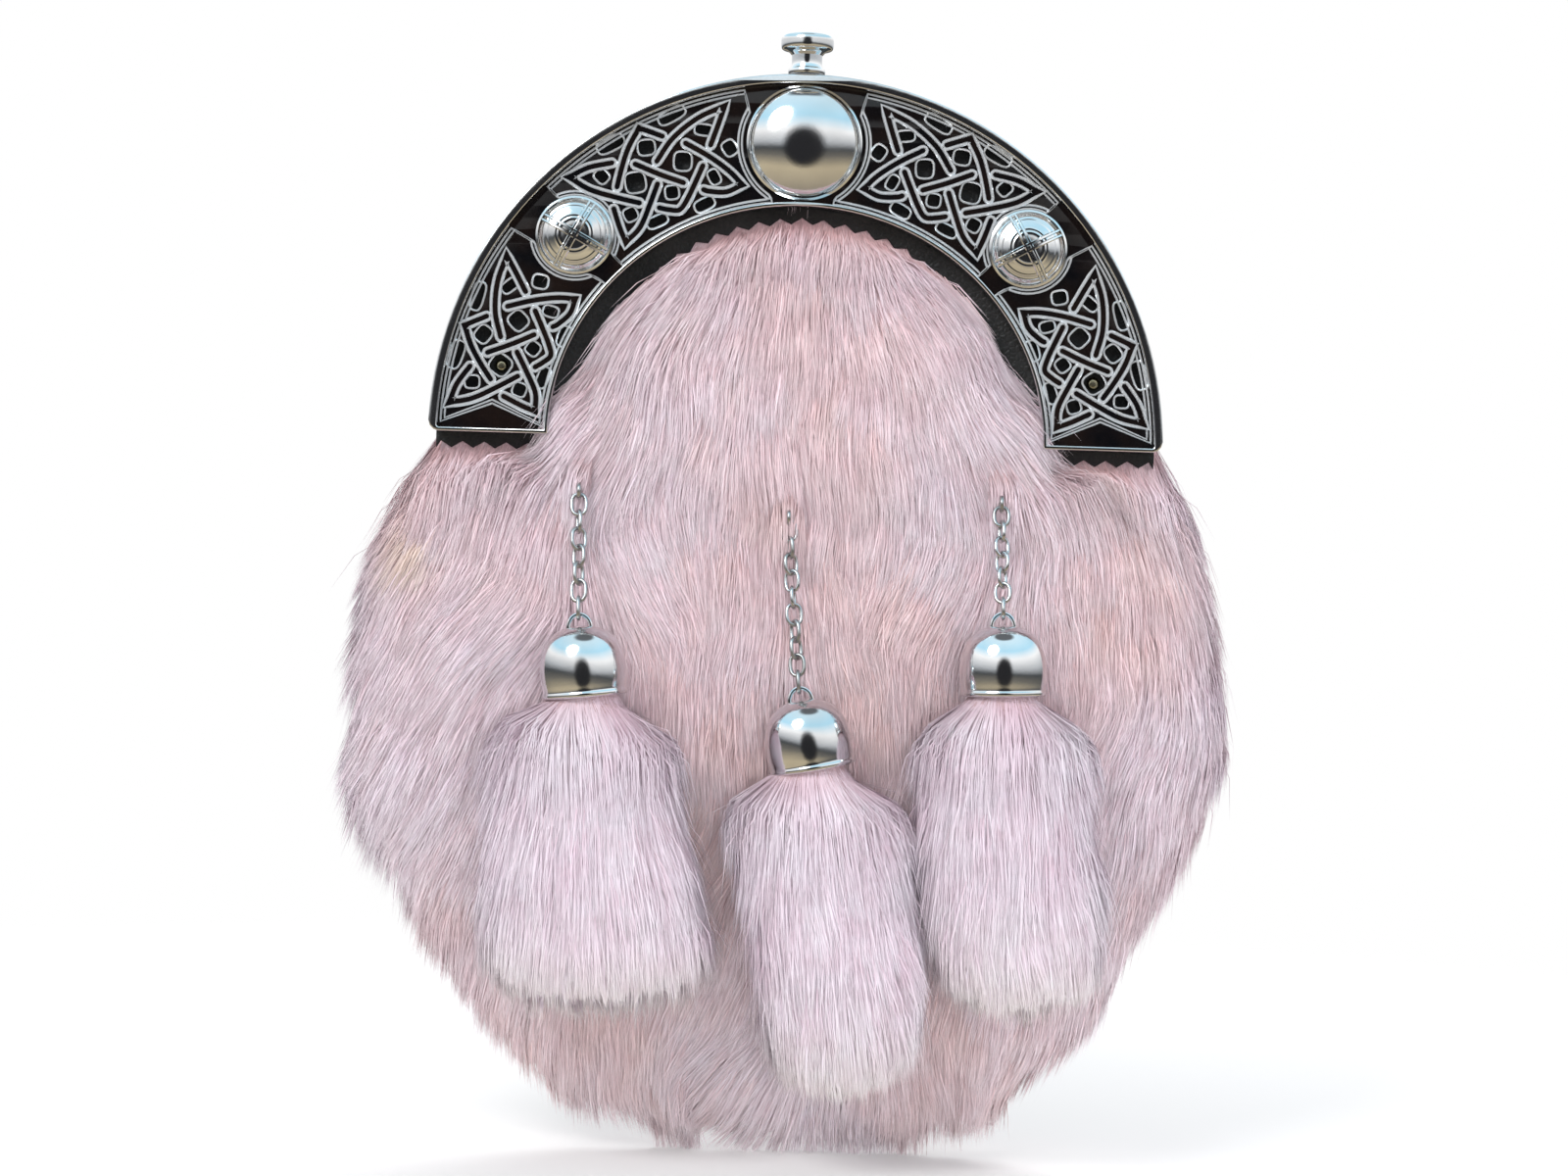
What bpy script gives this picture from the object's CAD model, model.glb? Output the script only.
# %% [markdown]
# A dress sporran is a small fur pouch worn at the front of a kilt. Everything here is built round
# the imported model, which is loaded first and never moved. The script goes from the hard parts to
# the soft ones: metal cantle, leather, chains and caps, and then the fur, which takes most work.
# Sizes in the tables are millimetres, because that is how such a pouch is measured, and MM turns
# them into Blender's metres.

import math

import bmesh
import bpy
import numpy as np
from mathutils import Matrix, Vector, kdtree
from mathutils.bvhtree import BVHTree


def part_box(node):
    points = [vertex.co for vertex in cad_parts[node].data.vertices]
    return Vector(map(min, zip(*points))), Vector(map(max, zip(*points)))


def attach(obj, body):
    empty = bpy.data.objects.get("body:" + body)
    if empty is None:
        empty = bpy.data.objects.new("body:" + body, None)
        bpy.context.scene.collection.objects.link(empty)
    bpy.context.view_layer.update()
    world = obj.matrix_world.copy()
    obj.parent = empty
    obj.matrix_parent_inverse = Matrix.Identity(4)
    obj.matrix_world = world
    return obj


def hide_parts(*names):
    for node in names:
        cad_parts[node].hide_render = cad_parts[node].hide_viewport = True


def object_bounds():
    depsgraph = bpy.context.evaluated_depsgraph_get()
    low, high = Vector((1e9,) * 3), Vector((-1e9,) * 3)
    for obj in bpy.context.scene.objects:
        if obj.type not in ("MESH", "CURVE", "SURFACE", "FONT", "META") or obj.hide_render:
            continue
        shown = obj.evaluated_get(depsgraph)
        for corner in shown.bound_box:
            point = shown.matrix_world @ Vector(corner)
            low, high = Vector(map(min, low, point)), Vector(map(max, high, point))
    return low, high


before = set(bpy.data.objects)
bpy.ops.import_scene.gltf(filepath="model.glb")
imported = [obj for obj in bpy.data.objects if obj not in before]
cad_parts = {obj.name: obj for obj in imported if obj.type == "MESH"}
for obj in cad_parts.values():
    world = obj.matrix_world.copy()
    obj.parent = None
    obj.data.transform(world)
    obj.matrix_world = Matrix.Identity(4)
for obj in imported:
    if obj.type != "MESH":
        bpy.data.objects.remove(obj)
cad_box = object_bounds()
MM = 0.001
SIDES = {-1: "left", 1: "right"}
print("CAD box in mm:", [round(v / MM, 1) for corner in cad_box for v in corner])


def add_object(name, data):
    """A new object in the scene, standing at the origin."""
    made = bpy.data.objects.new(name, data)
    bpy.context.collection.objects.link(made)
    return made



# %% [markdown]
# The camera comes first, so that every later step can be judged through it. It stands three
# quarters of a metre in front, level, with a slight roll, as a hand-held camera has. The lens is
# worked out from the width that the view should show at the plane of the cantle.

# %% Camera
VIEW = {"distance": 750, "width": 352.3, "x": -1.5, "z": -82.9, "depth": 32, "roll": 1.78}


def make_camera():
    data = bpy.data.cameras.new("camera")
    data.sensor_width = 36
    data.lens = data.sensor_width * VIEW["distance"] / VIEW["width"]
    data.clip_start = 0.01
    camera = add_object("camera", data)
    camera.location = Vector((VIEW["x"], -VIEW["distance"] - VIEW["depth"], VIEW["z"])) * MM
    camera.rotation_euler = (math.pi / 2, math.radians(-VIEW["roll"]), 0)
    bpy.context.scene.camera = camera
    return camera


camera = make_camera()
print("lens", round(camera.data.lens, 1), "mm")

# %% [markdown]
# Polished metal shows whatever surrounds it, so the light matters as much as the metal. What the
# metal mirrors is a plain gradient from straight down, 0, to straight up, 1: a warm tone below, a
# dark band at the horizon, white above it, then pale blue, and dark again at the very top. The
# direction straight behind the viewer is unlit. The fur gets an even pale light instead, and the
# camera itself sees plain white, as it would in front of a paper backdrop. The view transform is
# Standard, so that white stays white.

# %% World
MIRRORED_SKY = [
    (0.0, (0.30, 0.26, 0.20)), (0.30, (0.52, 0.44, 0.30)), (0.42, (0.16, 0.15, 0.13)),
    (0.49, (0.05, 0.055, 0.06)), (0.55, (0.50, 0.52, 0.54)), (0.66, (1.0, 1.0, 1.0)),
    (0.78, (0.48, 0.79, 0.96)), (0.97, (0.66, 0.86, 0.96)), (0.985, (0.12, 0.13, 0.14)),
]
MIRRORED_STRENGTH = 1.25
EVEN_LIGHT = {"colour": (0.93, 0.96, 1.0, 1), "strength": 0.50}
UNLIT = {"starts": -0.90, "full": -0.965, "colour": (0.02, 0.02, 0.022, 1)}


def make_world():
    world = bpy.data.worlds.new("studio")
    world.use_nodes = True
    nodes, links = world.node_tree.nodes, world.node_tree.links
    nodes.clear()
    coordinates = nodes.new("ShaderNodeTexCoord")
    split = nodes.new("ShaderNodeSeparateXYZ")
    height = nodes.new("ShaderNodeMapRange")
    height.inputs["From Min"].default_value = -1
    sky = nodes.new("ShaderNodeValToRGB")
    while len(sky.color_ramp.elements) < len(MIRRORED_SKY):
        sky.color_ramp.elements.new(0.5)
    for element, (place, colour) in zip(sky.color_ramp.elements, MIRRORED_SKY):
        element.position = place
        element.color = (*colour, 1)
    glossy = nodes.new("ShaderNodeBackground")
    glossy.inputs["Strength"].default_value = MIRRORED_STRENGTH
    soft = nodes.new("ShaderNodeBackground")
    soft.inputs["Color"].default_value = EVEN_LIGHT["colour"]
    soft.inputs["Strength"].default_value = EVEN_LIGHT["strength"]
    paper = nodes.new("ShaderNodeBackground")
    paper.inputs["Color"].default_value = (1, 1, 1, 1)
    path = nodes.new("ShaderNodeLightPath")
    shiny = nodes.new("ShaderNodeMixShader")
    seen = nodes.new("ShaderNodeMixShader")
    output = nodes.new("ShaderNodeOutputWorld")
    unlit = nodes.new("ShaderNodeMapRange")
    unlit.interpolation_type = "SMOOTHSTEP"
    unlit.inputs["From Min"].default_value = UNLIT["starts"]
    unlit.inputs["From Max"].default_value = UNLIT["full"]
    shaded = nodes.new("ShaderNodeMix")
    shaded.data_type = "RGBA"
    shaded.inputs["B"].default_value = UNLIT["colour"]
    links.new(coordinates.outputs["Generated"], split.inputs[0])
    links.new(split.outputs["Z"], height.inputs["Value"])
    links.new(height.outputs["Result"], sky.inputs["Fac"])
    links.new(split.outputs["Y"], unlit.inputs["Value"])
    links.new(unlit.outputs["Result"], shaded.inputs["Factor"])
    links.new(sky.outputs["Color"], shaded.inputs["A"])
    links.new(shaded.outputs["Result"], glossy.inputs["Color"])
    links.new(path.outputs["Is Glossy Ray"], shiny.inputs[0])
    links.new(soft.outputs[0], shiny.inputs[1])
    links.new(glossy.outputs[0], shiny.inputs[2])
    links.new(path.outputs["Is Camera Ray"], seen.inputs[0])
    links.new(shiny.outputs[0], seen.inputs[1])
    links.new(paper.outputs[0], seen.inputs[2])
    links.new(seen.outputs[0], output.inputs["Surface"])
    bpy.context.scene.world = world


make_world()
bpy.context.scene.view_settings.view_transform = "Standard"
print("world:", len(MIRRORED_SKY), "stops")

# %% [markdown]
# Four soft lamps light the fur. The key is above on the left, a weaker fill is on the right, one
# behind gives the edge, and a small low one, aimed at the lower fur, lifts the bottom of the
# tassels. Only the key shows in the metal.


# %% Lights
def soft_light(name, place, aim, size, watts, colour=(1, 1, 1)):
    data = bpy.data.lights.new(name, "AREA")
    data.shape = "DISK"
    data.size = size
    data.energy = watts
    data.color = colour
    light = add_object(name, data)
    light.location = place
    light.rotation_euler = (Vector(aim) - Vector(place)).to_track_quat("-Z", "Y").to_euler()
    return light


MIDDLE = (cad_box[0] + cad_box[1]) / 2
LOW_FUR = MIDDLE - Vector((0, 0, 0.08))
soft_light("key_light", (-0.55, -0.85, 0.65), MIDDLE, 0.6, 7.5, (1.0, 0.98, 0.96))
fill_light = soft_light("fill_light", (0.9, -0.7, 0.2), MIDDLE, 0.9, 4, (0.95, 0.97, 1.0))
back_light = soft_light("back_light", (0.2, 0.9, 0.5), MIDDLE, 0.8, 8)
low_light = soft_light("low_light", (0.1, -0.95, -0.12), LOW_FUR, 0.3, 2.4)
for lamp in (fill_light, back_light, low_light):
    lamp.visible_glossy = False

# %% [markdown]
# Several finishes share an effect: leather and enamel have a fine grain, and worn metal is dull in
# patches. Each such effect is a node group, built once, that puts out a mask or a height. The
# shaders stay in the materials.


# %% Node group helpers
def new_group(name, inputs, outputs):
    group = bpy.data.node_groups.new(name, "ShaderNodeTree")
    for socket, value in inputs.items():
        made = group.interface.new_socket(socket, in_out="INPUT", socket_type="NodeSocketFloat")
        made.default_value = value
    for socket, kind in outputs.items():
        group.interface.new_socket(socket, in_out="OUTPUT", socket_type=kind)
    entry = group.nodes.new("NodeGroupInput")
    leave = group.nodes.new("NodeGroupOutput")
    return group, entry, leave


def patches_group():
    """A soft mask of patches, and a fine speckle, both on Object coordinates."""
    group, entry, leave = new_group(
        "patches", {"Patch Scale": 60.0, "Fine Scale": 900.0},
        {"Patch": "NodeSocketFloat", "Fine": "NodeSocketFloat"},
    )
    place = group.nodes.new("ShaderNodeTexCoord")
    for socket, size, detail in (("Patch", "Patch Scale", 3.0), ("Fine", "Fine Scale", 2.0)):
        noise = group.nodes.new("ShaderNodeTexNoise")
        noise.inputs["Detail"].default_value = detail
        group.links.new(place.outputs["Object"], noise.inputs["Vector"])
        group.links.new(entry.outputs[size], noise.inputs["Scale"])
        group.links.new(noise.outputs["Fac"], leave.inputs[socket])
    return group


def grain_group():
    """The pebbled grain of leather: a height from small rounded cells and finer pores."""
    group, entry, leave = new_group(
        "leather_grain", {"Pebble Scale": 900.0, "Pore Scale": 2600.0},
        {"Height": "NodeSocketFloat", "Crease": "NodeSocketFloat"},
    )
    place = group.nodes.new("ShaderNodeTexCoord")
    pebble = group.nodes.new("ShaderNodeTexVoronoi")
    pebble.feature = "DISTANCE_TO_EDGE"
    pore = group.nodes.new("ShaderNodeTexNoise")
    shape = group.nodes.new("ShaderNodeMapRange")
    shape.inputs["From Max"].default_value = 0.25
    add = group.nodes.new("ShaderNodeMath")
    add.operation = "MULTIPLY_ADD"
    add.inputs[1].default_value = 0.35
    group.links.new(place.outputs["Object"], pebble.inputs["Vector"])
    group.links.new(place.outputs["Object"], pore.inputs["Vector"])
    group.links.new(entry.outputs["Pebble Scale"], pebble.inputs["Scale"])
    group.links.new(entry.outputs["Pore Scale"], pore.inputs["Scale"])
    group.links.new(pebble.outputs["Distance"], shape.inputs["Value"])
    group.links.new(pore.outputs["Fac"], add.inputs[0])
    group.links.new(shape.outputs["Result"], add.inputs[2])
    group.links.new(add.outputs[0], leave.inputs["Height"])
    group.links.new(shape.outputs["Result"], leave.inputs["Crease"])
    return group


PATCHES = patches_group()
GRAIN = grain_group()


# %% Material helpers
def new_material(name, slot_finish):
    material = bpy.data.materials.new(name)
    material.use_nodes = True
    shader = material.node_tree.nodes["Principled BSDF"]
    for socket, value in slot_finish.items():
        shader.inputs[socket].default_value = value
    return material, material.node_tree, shader


def place_group(tree, group, **values):
    node = tree.nodes.new("ShaderNodeGroup")
    node.node_tree = group
    for socket, value in values.items():
        node.inputs[socket.replace("_", " ")].default_value = value
    return node


def ramp(tree, source, low, high):
    """Maps the middle of a noise, from 0.35 to 0.65, onto low to high."""
    node = tree.nodes.new("ShaderNodeMapRange")
    node.inputs["From Min"].default_value = 0.35
    node.inputs["From Max"].default_value = 0.65
    node.inputs["To Min"].default_value = low
    node.inputs["To Max"].default_value = high
    tree.links.new(source, node.inputs["Value"])
    return node.outputs["Result"]


def mix_colours(tree, factor, first, second):
    node = tree.nodes.new("ShaderNodeMix")
    node.data_type = "RGBA"
    node.inputs["A"].default_value = (*first, 1)
    node.inputs["B"].default_value = (*second, 1)
    tree.links.new(factor, node.inputs["Factor"])
    return node.outputs["Result"]


def add_bump(tree, shader, height, strength, distance):
    bump = tree.nodes.new("ShaderNodeBump")
    bump.inputs["Strength"].default_value = strength
    bump.inputs["Distance"].default_value = distance
    tree.links.new(height, bump.inputs["Height"])
    tree.links.new(bump.outputs["Normal"], shader.inputs["Normal"])


# %% [markdown]
# The metals are one recipe with different values: a metallic surface whose colour and roughness
# drift in soft patches, with fine handling marks as bump. The cast silver of the knotwork is less
# metallic than the rest, because a matt white casting scatters light as well as mirroring it. The
# enamel is nearly black under a thin clear coat, and the leather has a pebbled grain.


# %% Metal, enamel and leather
def metal(name, bright, dull, roughness, spread, marks, metallic=1.0):
    material, tree, shader = new_material(name, {"Metallic": metallic})
    worn = place_group(tree, PATCHES, Patch_Scale=70.0, Fine_Scale=1500.0)
    colour = mix_colours(tree, ramp(tree, worn.outputs["Patch"], 0, 1), bright, dull)
    tree.links.new(colour, shader.inputs["Base Color"])
    rough = ramp(tree, worn.outputs["Patch"], roughness, roughness + spread)
    tree.links.new(rough, shader.inputs["Roughness"])
    add_bump(tree, shader, worn.outputs["Fine"], strength=marks, distance=0.00004)
    return material


def enamel(name):
    material, tree, shader = new_material(
        name, {"Coat Weight": 0.3, "Coat Roughness": 0.06, "Specular IOR Level": 0.35}
    )
    flow = place_group(tree, PATCHES, Patch_Scale=110.0, Fine_Scale=700.0)
    colour = mix_colours(
        tree, ramp(tree, flow.outputs["Patch"], 0, 1), (0.003, 0.003, 0.004), (0.010, 0.006, 0.005)
    )
    tree.links.new(colour, shader.inputs["Base Color"])
    tree.links.new(ramp(tree, flow.outputs["Fine"], 0.08, 0.17), shader.inputs["Roughness"])
    add_bump(tree, shader, flow.outputs["Patch"], strength=0.12, distance=0.0004)
    return material


def leather(name, dark, light, roughness):
    material, tree, shader = new_material(name, {"Specular IOR Level": 0.45})
    grain = place_group(tree, GRAIN)
    wear = place_group(tree, PATCHES, Patch_Scale=45.0, Fine_Scale=1200.0)
    colour = mix_colours(tree, ramp(tree, wear.outputs["Patch"], 0, 1), dark, light)
    tree.links.new(colour, shader.inputs["Base Color"])
    rough = ramp(tree, wear.outputs["Fine"], roughness, roughness + 0.2)
    tree.links.new(rough, shader.inputs["Roughness"])
    add_bump(tree, shader, grain.outputs["Height"], strength=0.5, distance=0.0002)
    return material


CHROME = metal(
    "chrome", (0.78, 0.79, 0.80), (0.68, 0.68, 0.68), roughness=0.07, spread=0.07, marks=0.15
)
CAST_SILVER = metal(
    "cast_silver", (0.94, 0.96, 0.98), (0.78, 0.81, 0.84), roughness=0.20, spread=0.12, marks=0.5,
    metallic=0.62,
)
CHAIN_STEEL = metal(
    "chain_steel", (0.60, 0.60, 0.61), (0.42, 0.42, 0.41), roughness=0.20, spread=0.14, marks=0.3
)
RIVET_BRASS = metal(
    "rivet_brass", (0.72, 0.66, 0.46), (0.48, 0.41, 0.25), roughness=0.22, spread=0.15, marks=0.4
)
ENAMEL = enamel("black_enamel")
LEATHER = leather("black_leather", (0.007, 0.008, 0.009), (0.017, 0.017, 0.018), 0.45)
THREAD = leather("black_thread", (0.020, 0.020, 0.021), (0.045, 0.044, 0.043), 0.6)
print("materials:", len(bpy.data.materials))

# %% [markdown]
# Most hard pieces are one of three forms: a flat piece cut from sheet, a turned piece, or a bead
# of metal along a path. A flat piece is a filled 2D curve, because Blender then cuts the holes and
# rounds the edges itself. A turned piece is a profile swept by the spin operator. A bead is a
# curve with a round bevel. Each is turned to face the front and becomes a plain mesh whose object
# stays at the origin.


# %% Mesh helpers
WELD = 2e-6
NO_SHARP_EDGES = 180


def finish_mesh(bm, name, material, sharp=35):
    """Welds, points the faces outwards, shades smooth but for sharp edges, and makes the object."""
    bmesh.ops.remove_doubles(bm, verts=bm.verts, dist=WELD)
    bmesh.ops.recalc_face_normals(bm, faces=bm.faces)
    for face in bm.faces:
        face.smooth = True
    for edge in bm.edges:
        if edge.is_manifold and edge.calc_face_angle(0) > math.radians(sharp):
            edge.smooth = False
    mesh = bpy.data.meshes.new(name)
    bm.to_mesh(mesh)
    bm.free()
    mesh.materials.append(material)
    return add_object(name, mesh)


def register(piece, slot, *nodes):
    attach(piece, "root")
    if nodes:
        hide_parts(*nodes)
    triangles = sum(len(p.vertices) - 2 for p in piece.data.polygons)
    print(piece.name, triangles, "triangles")
    return piece


def curve_to_bmesh(curve, turn):
    """Evaluates a curve, places it by the matrix turn and returns it as a bmesh."""
    carrier = add_object("carrier", curve)
    ready = carrier.evaluated_get(bpy.context.evaluated_depsgraph_get())
    mesh = bpy.data.meshes.new_from_object(ready)
    mesh.transform(turn)
    bm = bmesh.new()
    bm.from_mesh(mesh)
    bpy.data.objects.remove(carrier)
    bpy.data.curves.remove(curve)
    bpy.data.meshes.remove(mesh)
    return bm


def add_splines(curve, paths, closed=True):
    for path in paths:
        spline = curve.splines.new("POLY")
        spline.points.add(len(path) - 1)
        for point, place in zip(spline.points, path):
            across, up = place[0], place[1]
            lift = place[2] if len(place) > 2 else 0.0
            point.co = (across * MM, up * MM, lift * MM, 1)
        spline.use_cyclic_u = closed


def facing_front(depth, foot):
    """Turns a drawing in X and Y to stand in X and Z, facing the front at that depth."""
    return Matrix.Translation((0, -depth * MM, foot * MM)) @ Matrix.Rotation(math.pi / 2, 4, "X")


def sheet_bmesh(outlines, back, front, edge=0.0, foot=0.0):
    curve = bpy.data.curves.new("sheet", "CURVE")
    curve.dimensions = "2D"
    curve.fill_mode = "BOTH"
    curve.extrude = (front - back) / 2 * MM - edge * MM
    curve.bevel_depth = edge * MM
    curve.bevel_resolution = 2
    curve.offset = -edge * MM
    add_splines(curve, outlines)
    return curve_to_bmesh(curve, facing_front((back + front) / 2, foot))


def bead_bmesh(paths, radius, depth, foot=0.0, closed=True, sides=1):
    curve = bpy.data.curves.new("bead", "CURVE")
    curve.dimensions = "3D"
    curve.bevel_depth = radius * MM
    curve.bevel_resolution = sides
    curve.use_fill_caps = True
    add_splines(curve, paths, closed)
    return curve_to_bmesh(curve, facing_front(depth, foot))


def turned_bmesh(profile, steps, placing):
    """Spins a profile of (radius, height) in mm round Z, then places it by a matrix."""
    bm = bmesh.new()
    ring = [bm.verts.new((r * MM, 0, h * MM)) for r, h in profile]
    for low, high in zip(ring, ring[1:]):
        bm.edges.new((low, high))
    bmesh.ops.spin(
        bm, geom=bm.verts[:] + bm.edges[:], cent=(0, 0, 0), axis=(0, 0, 1),
        angle=2 * math.pi, steps=steps, use_merge=True, use_duplicate=False,
    )
    bmesh.ops.remove_doubles(bm, verts=bm.verts, dist=WELD)
    bmesh.ops.transform(bm, matrix=placing, verts=bm.verts)
    return bm


def joined(parts):
    """Several bmeshes as one."""
    whole = bmesh.new()
    for part in parts:
        mesh = bpy.data.meshes.new("part")
        part.to_mesh(mesh)
        part.free()
        whole.from_mesh(mesh)
        bpy.data.meshes.remove(mesh)
    return whole


def axis_to_front(x, z, depth):
    """Places a turned piece with its axis towards the front, its height 0 at that depth."""
    spot = Matrix.Translation((x * MM, -depth * MM, z * MM))
    return spot @ Matrix.Rotation(math.pi / 2, 4, "X")


# %% [markdown]
# The cantle is the arched metal frame. Its face is black enamel with a bright rim, pierced by
# small cells through which the leather shows, with raised knotwork. Its outer radius, foot and
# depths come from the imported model. The inner edge is an ellipse.

# %% Cantle sizes
PLATE_LOW, PLATE_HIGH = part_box("cantle_plate")
FOOT = PLATE_LOW.z / MM
ARCH = {"outer": PLATE_HIGH.x / MM, "inner_x": 55.6, "inner_z": 52.8, "corner": 2.4}
RIM = {"outer": 1.9, "inner": 0.9, "height": 3.0}
RIM_FRONT = -PLATE_LOW.y / MM
PLATE_BACK = -PLATE_HIGH.y / MM
GROUND = RIM_FRONT - RIM["height"]
PANELS = {
    "upper": {"from": 8.8, "to": 45.8, "outer": (10.0, 45.9), "inner": (7.3, 46.1)},
    "lower": {"from": 54.5, "to": 88.5, "outer": (54.8, 88.0), "inner": (52.0, 88.0)},
}
PANEL_REACH = (54.5, 81.5)
BORDER = {"rim_gap": 0.95, "inner_gap": 0.75, "centre_gap": 1.5, "side_gap": 0.75, "foot": 2.6,
          "apex": (68.4, 7.0), "half": 0.42, "bead": 0.27}
CENTRE_BOSS = {"height": 67.2, "radius": 13.0, "rise": 6.6}
SIDE_BOSS = {"angle": 48.6, "reach": 67.9, "radius": 8.8, "rise": 4.4,
             "rings": (3.4, 4.2, 6.2, 7.0), "turn": 28, "line_gap": 0.62, "line": 0.4}
print("cantle foot", round(FOOT, 1), "ground at", round(GROUND, 1), "rim at", round(RIM_FRONT, 1))


def polar(reach, angle):
    turn = math.radians(angle)
    return np.array((reach * math.sin(turn), reach * math.cos(turn)))


def inner_reach(angle):
    turn = math.radians(angle)
    across = math.sin(turn) / ARCH["inner_x"]
    return 1 / math.hypot(across, math.cos(turn) / ARCH["inner_z"])


def arch_outline(outer_inset, inner_inset, foot_inset, steps=72):
    """The arch between two insets, its feet cut level and their outer corners rounded."""
    outer = ARCH["outer"] - outer_inset
    corner = max(ARCH["corner"] - outer_inset, 0.5)
    lean = math.degrees(math.asin((foot_inset + corner) / outer))
    outline = [polar(outer, a) for a in np.linspace(-90 + lean, 90 - lean, steps)]
    side = math.sqrt(outer**2 - (foot_inset + corner) ** 2)
    for t in (0.35, 0.65, 0.9):
        drop = corner * math.sin(t * math.pi / 2)
        pull = corner * (1 - math.cos(t * math.pi / 2))
        outline.append(np.array((side - pull, foot_inset + corner - drop)))
    outline.append(np.array((side - corner, foot_inset)))
    wide, tall = ARCH["inner_x"] + inner_inset, ARCH["inner_z"] + inner_inset
    start = math.asin(foot_inset / tall)
    for turn in np.linspace(start, math.pi - start, steps):
        outline.append(np.array((wide * math.cos(turn), tall * math.sin(turn))))
    left = [p * np.array((-1, 1)) for p in reversed(outline[steps : steps + 4])]
    return outline + left


# %% [markdown]
# The knot is charted once, in fractions along and across a panel, and mirrored and bent into all
# four panels. Every strand of the knot ends where it dips under another one. Each row is one
# strand: its points as (along, across). Between the strands are the pierced cells, and one cell of
# each lower panel shows a rivet.

# %% Knot chart
STRANDS = {
    "shoulder": [(0.52, 0.585), (0.405, 0.705), (0.265, 0.795), (0.13, 0.84), (0.18, 0.695),
                 (0.24, 0.55)],
    "inner_bow": [(0.355, 0.63), (0.265, 0.465), (0.18, 0.30), (0.125, 0.165), (0.225, 0.14),
                  (0.32, 0.185), (0.35, 0.215)],
    "outer_step": [(0.445, 0.755), (0.49, 0.835), (0.525, 0.90), (0.61, 0.795), (0.685, 0.68),
                   (0.755, 0.57)],
    "cross": [(0.62, 0.65), (0.535, 0.475), (0.44, 0.33)],
    "inner_step": [(0.31, 0.405), (0.39, 0.28), (0.46, 0.19), (0.525, 0.14), (0.585, 0.185),
                   (0.625, 0.235)],
    "outer_bow": [(0.71, 0.76), (0.81, 0.84), (0.905, 0.88), (0.87, 0.695), (0.795, 0.515),
                  (0.705, 0.355)],
    "tail": [(0.57, 0.415), (0.66, 0.30), (0.78, 0.185), (0.90, 0.16), (0.875, 0.28),
             (0.835, 0.44)],
}
STRAND = {"half": 0.92, "bead": 0.37, "bed": 0.45}
CELL_RIM = {"grow": 0.12, "bead": 0.24}
CELLS = [
    {"along": 0.25, "across": 0.69, "length": 4.2, "width": 2.4, "turn": -24},
    {"along": 0.37, "across": 0.89, "length": 6.4, "width": 2.6, "turn": 8},
    {"along": 0.4, "across": 0.5, "length": 3.9, "width": 4.2, "turn": -24},
    {"along": 0.535, "across": 0.73, "length": 3.8, "width": 3.4, "turn": -20},
    {"along": 0.67, "across": 0.9, "length": 6.4, "width": 3.0, "turn": -6},
    {"along": 0.665, "across": 0.52, "length": 4.5, "width": 4.6, "turn": -22},
    {"along": 0.52, "across": 0.3, "length": 3.0, "width": 3.0, "turn": -20},
    {"along": 0.27, "across": 0.29, "length": 2.4, "width": 3.4, "turn": 10},
    {"along": 0.15, "across": 0.49, "length": 3.0, "width": 3.4, "turn": 20},
    {"along": 0.375, "across": 0.1, "length": 4.6, "width": 2.6, "turn": 6},
    {"along": 0.675, "across": 0.15, "length": 4.8, "width": 2.4, "turn": -8},
    {"along": 0.785, "across": 0.72, "length": 2.8, "width": 3.2, "turn": 10},
    {"along": 0.78, "across": 0.32, "length": 3.0, "width": 3.0, "turn": -10},
]
RIVET_CELL = 5


def panel_point(panel, side, along, across):
    angle = panel["from"] + (panel["to"] - panel["from"]) * along
    reach = PANEL_REACH[0] + (PANEL_REACH[1] - PANEL_REACH[0]) * across
    return polar(reach, side * angle)


# %% Path helpers
def turn_at(points, i):
    before = points[i] - points[i - 1]
    after = points[i + 1] - points[i]
    cross = before[0] * after[1] - before[1] * after[0]
    return abs(math.degrees(math.atan2(cross, before @ after)))


def smooth_run(run, steps):
    """A Catmull-Rom curve through the points of a run."""
    padded = [2 * run[0] - run[1], *run, 2 * run[-1] - run[-2]]
    made = []
    for a, b, c, d in zip(padded, padded[1:], padded[2:], padded[3:]):
        for t in np.arange(steps) / steps:
            made.append(
                0.5 * (2 * b + (c - a) * t + (2 * a - 5 * b + 4 * c - d) * t**2
                       + (3 * b - a - 3 * c + d) * t**3)
            )
    return made


def smooth_path(points, steps=5, corner=62):
    """Smooth through the points, but pointed where the path turns more than the corner angle."""
    cuts = [0, *[i for i in range(1, len(points) - 1) if turn_at(points, i) > corner]]
    cuts.append(len(points) - 1)
    made = []
    for low, high in zip(cuts, cuts[1:]):
        made += smooth_run(points[low : high + 1], steps)
    return made + [points[-1]]


def offset_side(points, gap):
    """The path moved sideways by gap, mitred at its corners."""
    made = []
    for i, point in enumerate(points):
        before = points[i] - points[i - 1] if i else points[1] - points[0]
        after = points[i + 1] - points[i] if i < len(points) - 1 else before
        normals = [np.array((-d[1], d[0])) / np.hypot(*d) for d in (before, after)]
        middle = normals[0] + normals[1]
        scale = min(2 / max(middle @ middle, 1e-6), 2.4)
        made.append(point + gap * middle * scale)
    return made


def without_loops(points, least=0.25):
    """Drops points that crowd together, as the points of an offset do inside a corner."""
    kept = [points[0]]
    for point in points[1:]:
        if np.hypot(*(point - kept[-1])) > least:
            kept.append(point)
    return kept


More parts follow.
